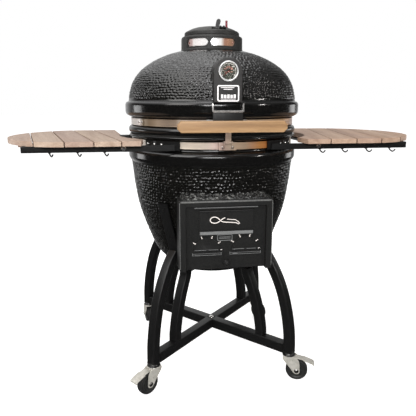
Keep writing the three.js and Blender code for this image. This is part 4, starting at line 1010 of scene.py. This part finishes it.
# the rough glazed bead where the pot meets the frame's top; its pale grey patches are painted highlights on the lumps
def r_base(z):
    for (r0, z0), (r1, z1) in zip(BASE_OUT, BASE_OUT[1:]):
        if min(z0, z1) <= z <= max(z0, z1) and abs(z1 - z0) > 1e-6:
            return r0 + (r1 - r0) * (z - z0) / (z1 - z0)
    return 250.0
nx, nt_ = 150, 16
V, F = [], []
for i in range(nx + 1):
    x = -139 + 278 * i / nx
    for k in range(nt_ + 1):
        f = k / nt_
        yb = -math.sqrt(max(10.0, r_base(672) ** 2 - x * x)) + 5
        y = -292.5 + (yb + 292.5) * f
        edge = min(1.0, (139 - abs(x)) / 9.0)
        n = noise.noise(Vector((x / 8.0, y / 9.0, 3.1))) + 0.5 * noise.noise(Vector((x / 3.6, y / 4.0, 8.7)))
        z = 654.4 + (1.0 + 15.0 * f ** 0.75 + 4.2 * n * min(1.0, 4 * f + 0.25)) * (0.35 + 0.65 * edge)
        V.append((x, y, max(654.4, z)))
m_ = len(V)
V += [(v[0], v[1], 654.15) for v in V]
w_ = nt_ + 1
for i in range(nx):
    for k in range(nt_):
        a_, b_, c_, d_ = i * w_ + k, (i + 1) * w_ + k, (i + 1) * w_ + k + 1, i * w_ + k + 1
        F.append((a_, b_, c_, d_))
        F.append((m_ + d_, m_ + c_, m_ + b_, m_ + a_))
for i in range(nx):
    F.append((m_ + i * w_, m_ + (i + 1) * w_, (i + 1) * w_, i * w_))
    F.append((i * w_ + nt_, (i + 1) * w_ + nt_, m_ + (i + 1) * w_ + nt_, m_ + i * w_ + nt_))
for k in range(nt_):
    F.append((k, k + 1, m_ + k + 1, m_ + k))
    F.append((nx * w_ + k + 1, nx * w_ + k, m_ + nx * w_ + k, m_ + nx * w_ + k + 1))
mb = MB()
mb.add(V, F, "bead")
mb.obj("draft_bead", "base", slot="glazed_ceramic")
# raised stop bars under the dampers and the bright thumb buttons
for nm, s_ in (("damper_l", -1), ("damper_r", 1)):
    cx = s_ * 60
    mb = MB()
    T = axis_to((cx + 45, -293.4, 493.5), (0, -1, 0))
    mb.add(*lathe_vf([(0, 0), (3.4, 0), (3.4, 2.2), (4.2, 3.0), (4.2, 4.4), (3.2, 5.2), (0, 5.4)], 24), "bolt", T)
    T = axis_to((cx, -295.2, 493), (0, -1, 0))
    mb.add(*lathe_vf([(0, 0), (5.2, 0), (5.2, 0.9), (3.6, 1.6), (0, 1.8)], 24), "door", T)
    mb.add(*box_vf(cx - 40, cx + 35, -295.9, -294.9, 495, 496.6, 0.4, 1), "doorlip")
    mb.obj(nm + "_button", nm, slot="door_paint")
mb = MB()
T = axis_to((0, -291.2, 453), (0, -1, 0))
mb.add(*lathe_vf([(0, 0), (6.5, 0), (6.5, 1.6), (4.6, 2.6), (4.6, 7.4), (7.6, 8.6), (9.4, 10.2), (9.5, 12.6), (8.6, 14.2), (6.4, 14.8), (0, 15)], 48), "plastic", T)
mb.obj("drawer_knob_turned", "drawer", "drawer_knob")
mb = MB()
T = axis_to((0, -305.9, 453), (0, -1, 0))
mb.add(*lathe_vf([(0, 0), (2.6, 0), (2.4, 0.5), (0, 0.7)], 20), "bolt", T)
mb.obj("drawer_knob_screw", "drawer", slot="bright_steel")

# ------------------------------------------------------------------ stand
LAZ = rad(46.8)
OUTER = [(221, 449), (246, 423), (269, 390), (290, 352), (307, 312), (321, 266), (332, 216), (339, 165), (341, 128), (341, 100.2)]
INNER = [(160, 367), (163, 350), (175, 322), (188, 292), (200, 259), (211, 222), (219, 186), (224, 155), (225, 131)]
STRAP = [(277.3, 627), (265, 587), (250, 541), (235, 496), (218.4, 443), (195, 409), (178, 385), (169, 372.5), (161, 369), (124, 369)]
legs = {"front_right": -LAZ, "front_left": -math.pi + LAZ, "rear_left": math.pi - LAZ, "rear_right": LAZ}
for nm, az in legs.items():
    c, s = math.cos(az), math.sin(az)
    side = (-s, c, 0)
    mb = MB()
    for path in (OUTER, INNER):
        pts = [(p.x * c, p.x * s, p.y) for p in spline([(r, z, 0) for r, z in path], 7.0)]
        mb.add(*sweep_vf(pts, rsec(32, 32, 4.5, 4), side), "stand")
    st = spline([(r, z, 0) for r, z in STRAP], 8.0)
    mb.add(*sweep_vf([(p.x * c, p.x * s, p.y) for p in st], rsec(5.4, 40, 1.6, 2), side), "stand")
    # foot plug and the bolts that hold the strap
    mb.add(*sweep_vf([(341 * c, 341 * s, 99.9), (341 * c, 341 * s, 103)], rsec(34, 34, 5, 4), side), "plastic")
    for r_, z_, in ((270, 606), (236, 500)):
        p = Vector((r_ * c, r_ * s, z_))
        n_ = Vector((0.955 * c, 0.955 * s, -0.29))
        bolt_dome(mb, p + n_ * 2.6, n_, 4.6, 3.2, "black_steel", True)
    ob = mb.obj("leg_" + nm, "base", "leg_frame_" + nm, ang=35)
mb = MB()
for az in (LAZ, -LAZ):
    T = Matrix.Rotation(az, 4, "Z")
    mb.add(*box_vf(-324.4, 324.4, -16, 16, 94.2, 129.8, 3.4, 3), "stand", T)
for az in (LAZ, -LAZ, math.pi - LAZ, math.pi + LAZ):
    T = Matrix.Rotation(az, 4, "Z")
    # end weld plates against each leg
    mb.add(*box_vf(322.6, 324.6, -15, 15, 96, 128, 0.8), "stand", T)
bolt_dome(mb, (0, 0, 129.8), (0, 0, 1), 7, 5, "bolt", True)
mb.obj("cross_bars", "base", "cross_base", ang=35)
mb = MB()
mb.add(*lathe_vf([(112, 373.4), (113, 372.4), (149, 372.4), (150, 373.4), (150, 384.4), (149, 385.4), (113, 385.4), (112, 384.4)], 96), "stand")
mb.obj("cradle_ring_bar", "base", "cradle_ring")

# ------------------------------------------------------------------ casters
sx, sy = 341 * math.cos(LAZ), 341 * math.sin(LAZ)
TR, WR = 28.0, 37.5


def caster(nm, x, y, deg, brake):
    T = Matrix.Translation((x, y, 0)) @ Matrix.Rotation(rad(deg), 4, "Z")
    mb = MB()
    # stem, ball race with its black seal, domed fork crown
    mb.add(*lathe_vf([(0, 88), (14.5, 88), (14.5, 99.4), (0, 99.4)], 32), "bolt", T)
    mb.add(*lathe_vf([(13, 89.4), (21.4, 89.4), (22.2, 90.4), (22.2, 92.4), (21.2, 93.4), (13, 93.4)], 48), "plastic", T)
    mb.add(*lathe_vf([(0, 84), (8, 84), (9, 86), (18.8, 86.4), (21.6, 87.2), (22.2, 88.4), (21.6, 89.4), (0, 89.4)], 48), "zinc", T)
    crown = [(-20, -14), (-17, -17.6), (20, -17.6), (23, -14), (23, 14), (20, 17.6), (-17, 17.6), (-20, 14)]
    mb.add(*prism_vf(crown, 84.2, 88.2, lambda a, b, d: (a, b, d), 1.2, 2), "zinc", T)
    out = [(-19, 87.4), (-20.4, 82), (-18.5, 76), (-8, 63), (4, 49), (13, 37), (17.4, 31), (22, 26.8), (28, 25.4), (34, 26.8), (38, 31), (39, 37), (38.4, 48), (37.6, 60), (36, 70), (31, 80), (22, 87.4)]
    sm = [(p.x, p.y) for p in spline([(a, b, 0) for a, b in out], 4.0)]
    for y0, y1 in ((-17.6, -14.9), (14.9, 17.6)):
        mb.add(*prism_vf(sm, y0, y1, lambda a, b, d: (a, d, b), 0.8, 2), "zinc", T)
    # axle bolt, washer and lock nut
    T2 = T @ axis_to((TR, -17.4, WR), (0, -1, 0))
    mb.add(*lathe_vf([(0, 0), (8, 0), (8, 1), (0, 1)], 28), "bolt", T2)
    mb.add(*lathe_vf([(0, 0.9), (6, 0.9), (6, 3.0), (5.2, 3.6), (0, 3.6)], 6), "bolt", T2)
    T2 = T @ axis_to((TR, 17.4, WR), (0, 1, 0))
    mb.add(*lathe_vf([(0, 0), (8, 0), (8, 1), (0, 1)], 28), "bolt", T2)
    mb.add(*lathe_vf([(0, 0.9), (6, 0.9), (6, 3.2), (4.2, 3.6), (0, 3.6)], 6), "bolt", T2)
    mb.add(*lathe_vf([(0, -14.8), (4, -14.8), (4, 14.8), (0, 14.8)], 20), "bolt", T @ Matrix.Translation((TR, 0, WR)) @ Matrix.Rotation(rad(90), 4, "X"))
    mb.obj("fork_" + nm, "caster_" + nm, "caster_fork_" + nm, ang=30)
    mb = MB()
    W = T @ Matrix.Translation((TR, 0, WR)) @ Matrix.Rotation(rad(90), 4, "X")
    mb.add(*lathe_vf([(28.5, -9.8), (34.2, -10.8), (36.2, -9.6), (37.2, -6.5), (37.5, -3), (37.5, 3), (37.2, 6.5), (36.2, 9.6), (34.2, 10.8), (28.5, 9.8)], 96), "tyre", W)
    mb.add(*lathe_vf([(4.4, -12.4), (10.5, -12.4), (12, -11.4), (13, -8.0), (24.5, -7.4), (26.5, -9.6), (28.8, -10.4), (29.4, -9.6), (29.4, 9.6), (28.8, 10.4), (26.5, 9.6), (24.5, 7.4), (13, 8.0), (12, 11.4), (10.5, 12.4), (4.4, 12.4)], 72), "hub", W)
    for k in range(6):
        R = Matrix.Rotation(rad(60 * k), 4, "Z")
        mb.add(*box_vf(11.5, 25.5, -1.3, 1.3, -9.6, 9.6, 0.8), "hub", W @ R)
    mb.obj("wheel_piece_" + nm, "wheel_" + nm, "caster_wheel_" + nm, ang=30)
    if brake:
        mb = MB()
        sec = rsec(3.0, 27, 1.0, 2)
        path = [(14, 81), (24, 82), (34, 82.3), (45, 80), (56, 76.8), (70, 72), (84, 66.5)]
        mb.add(*sweep_vf([(p.x, 0, p.y) for p in spline([(a, b, 0) for a, b in path], 4.0)], sec, (0, 1, 0)), "zinc", T)
        sec = rsec(3.0, 33.4, 1.0, 2)
        path = [(50, 78.6), (58, 76.2), (70, 72), (82, 67.4), (85.4, 63.6), (86, 61.6)]
        mb.add(*sweep_vf([(p.x, 0, p.y) for p in spline([(a, b, 0) for a, b in path], 3.0)], sec, (0, 1, 0)), "zinc", T)
        for k in range(3):
            xx = 60 + 8 * k
            zz = 77.6 - (xx - 58) * 0.38
            mb.add(*sweep_vf([(xx, -12, zz), (xx, 0, zz), (xx, 12, zz)], circ(1.2, 10), (0, 0, 1)), "zinc", T)
        mb.add(*sweep_vf([(15, -14, 80), (15, 0, 80), (15, 14, 80)], circ(3.6, 16), (0, 0, 1)), "bolt", T)
        mb.obj("pedal_piece_" + nm, "pedal_" + nm, "brake_pedal_" + nm, ang=35)


for a in (("front_left", -sx, -sy, 218, True), ("front_right", sx, -sy, -20, True), ("rear_left", -sx, sy, 100, False), ("rear_right", sx, sy, -60, False)):
    caster(*a)


# ------------------------------------------------------------------ shelves
def clip(poly, a, b, c):
    """The part of a polygon where a*x + b*y <= c."""
    out = []
    n = len(poly)
    for i in range(n):
        p, q = poly[i], poly[(i + 1) % n]
        dp, dq = a * p[0] + b * p[1] - c, a * q[0] + b * q[1] - c
        if dp <= 0:
            out.append(p)
        if (dp < 0 < dq) or (dq < 0 < dp):
            t = dp / (dp - dq)
            out.append((p[0] + (q[0] - p[0]) * t, p[1] + (q[1] - p[1]) * t))
    return out


def outline(tip, corner, step=48):
    p = [(corner, -278.0)]
    for i in range(step + 1):
        a = -math.pi / 2 + math.pi * i / step
        p.append((470 + (tip - 470) * math.cos(a), 6 + 284 * math.sin(a)))
    p.append((350, 290.0))
    for i in range(21):
        a = rad(7 - 47.5 * i / 20)
        p.append((324 * math.cos(a), 324 * math.sin(a)))
    return p


def half_ok(poly):
    return len(poly) >= 3


t = math.tan(rad(12.5))
for side, body, GAPS, TIP, CORNER, RAIL_END in ((1, "shelf_r", [332, 417, 501, 578], 697, 258, 610), (-1, "shelf_l", [309, 388, 471, 556], 684, 253, 602)):
    tag = "right" if side > 0 else "left"
    woods = WOODS if side > 0 else WOODS_L
    mb = MB()
    # the outline is not convex at its inner arc, so the two sides of each joint are clipped from it one by one
    edges = [-1e4] + GAPS + [1e4]
    for i in range(len(edges) - 1):
        lo, hi = edges[i], edges[i + 1]
        poly = outline(TIP, CORNER)
        if hi < 1e3:
            poly = clip(poly, 1, -t, hi - 1.8 + 278 * t)
        if lo > -1e3:
            poly = clip(poly, -1, t, -(lo + 1.8 + 278 * t))
        if not half_ok(poly):
            continue
        P2 = []
        for q in poly:
            if not P2 or math.hypot(q[0] - P2[-1][0], q[1] - P2[-1][1]) > 0.6:
                P2.append(q)
        if math.hypot(P2[0][0] - P2[-1][0], P2[0][1] - P2[-1][1]) < 0.6:
            P2.pop()
        dz = (0.0, -0.25, 0.0, -0.15, -0.05)[i]
        V, F = prism_vf([(side * a, b) for a, b in P2], 818.0, 833.0 + dz, lambda a, b, d: (a, b, d), 1.6, 3)
        mb.add(V, F, woods[(0, 1, 2, 1, 0)[i]])
    b1, b2 = (300, 628, -150, -120), (352, 640, 120, 150)
    for a in (b1, b2):
        x0, x1 = (a[0], a[1]) if side > 0 else (-a[1], -a[0])
        mb.add(*box_vf(x0, x1, a[2], a[3], 808.2, 818.3, 1.4), woods[2])
    mb.obj("shelf_boards_" + tag, body, "shelf_slats_" + tag, ang=35)
    mb = MB()
    S = Matrix.Scale(side, 4, (1, 0, 0))

    def sb(x0, x1, *a, **k):
        return box_vf(*((x0, x1) if side > 0 else (-x1, -x0)), *a, **k)
    for y0, y1 in ((-236, -216), (216, 236)):
        mb.add(*sb(292, RAIL_END, y0, y1, 798, 817.7, r=2.4, seg=3), "stand")
    for x0 in (344, 560):
        mb.add(*sb(x0, x0 + 18, -217, 217, 798.2, 807.4, r=1.4), "stand")
    for y in (-1, 1):
        T = axis_to((side * 305, y * 236, 808), (0, y, 0))
        mb.add(*lathe_vf([(0, -1), (4, -1), (4, 6), (7.2, 6.2), (7.2, 8.4), (5.6, 9.6), (0, 9.8)], 24), "bolt", T)
    hooks = (316, 392, 474, 555) if side > 0 else (362, 441, 522)
    for x in hooks:
        X = side * x
        path = [(X, -228, 800), (X, -228, 795.5), (X + 1.2, -229.5, 792.5), (X + 3.6, -233, 789.2), (X + 6.2, -236.4, 787.2), (X + 8.2, -239, 787.6), (X + 10.4, -241.8, 790.4), (X + 12, -244, 794)]
        mb.add(*sweep_vf([tuple(p) for p in spline(path, 1.5)], circ(2.1, 12), (0.8, 0.6, 0)), "hook")
        mb.add(*lathe_vf([(0, 796.2), (4.6, 796.2), (4.6, 798.2), (0, 798.2)], 20), "hook", Matrix.Translation((X, -228, 0)))
    mb.obj("shelf_rails_" + tag, body, "shelf_frame_" + tag, ang=35)
    # the shelf brackets, refined from the CAD nodes
    for p, yy in (("front", -1), ("rear", 1)):
        node = "shelf_bracket_%s_%s" % (p, tag)
        refine(node, "stand", 0.8, 30)
mb = MB()
for sxn in (1, -1):
    for syn in (-1, 1):
        for deg in (36, 42, 48):
            a = rad(deg)
            c, s = math.cos(a) * sxn, math.sin(a) * syn
            bolt_dome(mb, (284.2 * c, 284.2 * s, 815), (c, s, 0), 4.8, 3.6)
mb.obj("bracket_bolts", "base", slot="bright_steel")

# ------------------------------------------------------------------ anything of the CAD model still showing gets a surface too
KEEP = {"glazed_ceramic": "glaze", "gasket_felt": "felt", "firebrick": "brick", "grate_iron": "iron", "grate_steel": "bar", "band_steel": "band",
        "hinge_steel": "black_steel", "pin_steel": "spring", "handle_wood": "handle", "bright_steel": "sheet", "shroud_paint": "shroud",
        "chrome_trim": "chrome", "dial_face": "dial", "needle_red": "red", "dial_glass": "glass", "vent_cast": "cast", "vent_liner": "liner",
        "pin_red": "pinred", "door_paint": "door", "knob_plastic": "plastic", "stand_powder": "stand", "caster_zinc": "zinc",
        "wheel_rubber": "tyre", "shelf_wood": "handle"}
for n, o in frame["nodes"].items():
    if not o.hide_render:
        print("CAD node still shown:", n)
        for sl in o.material_slots:
            sl.material = MATS[KEEP[SLOT[n]]]

b1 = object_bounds()
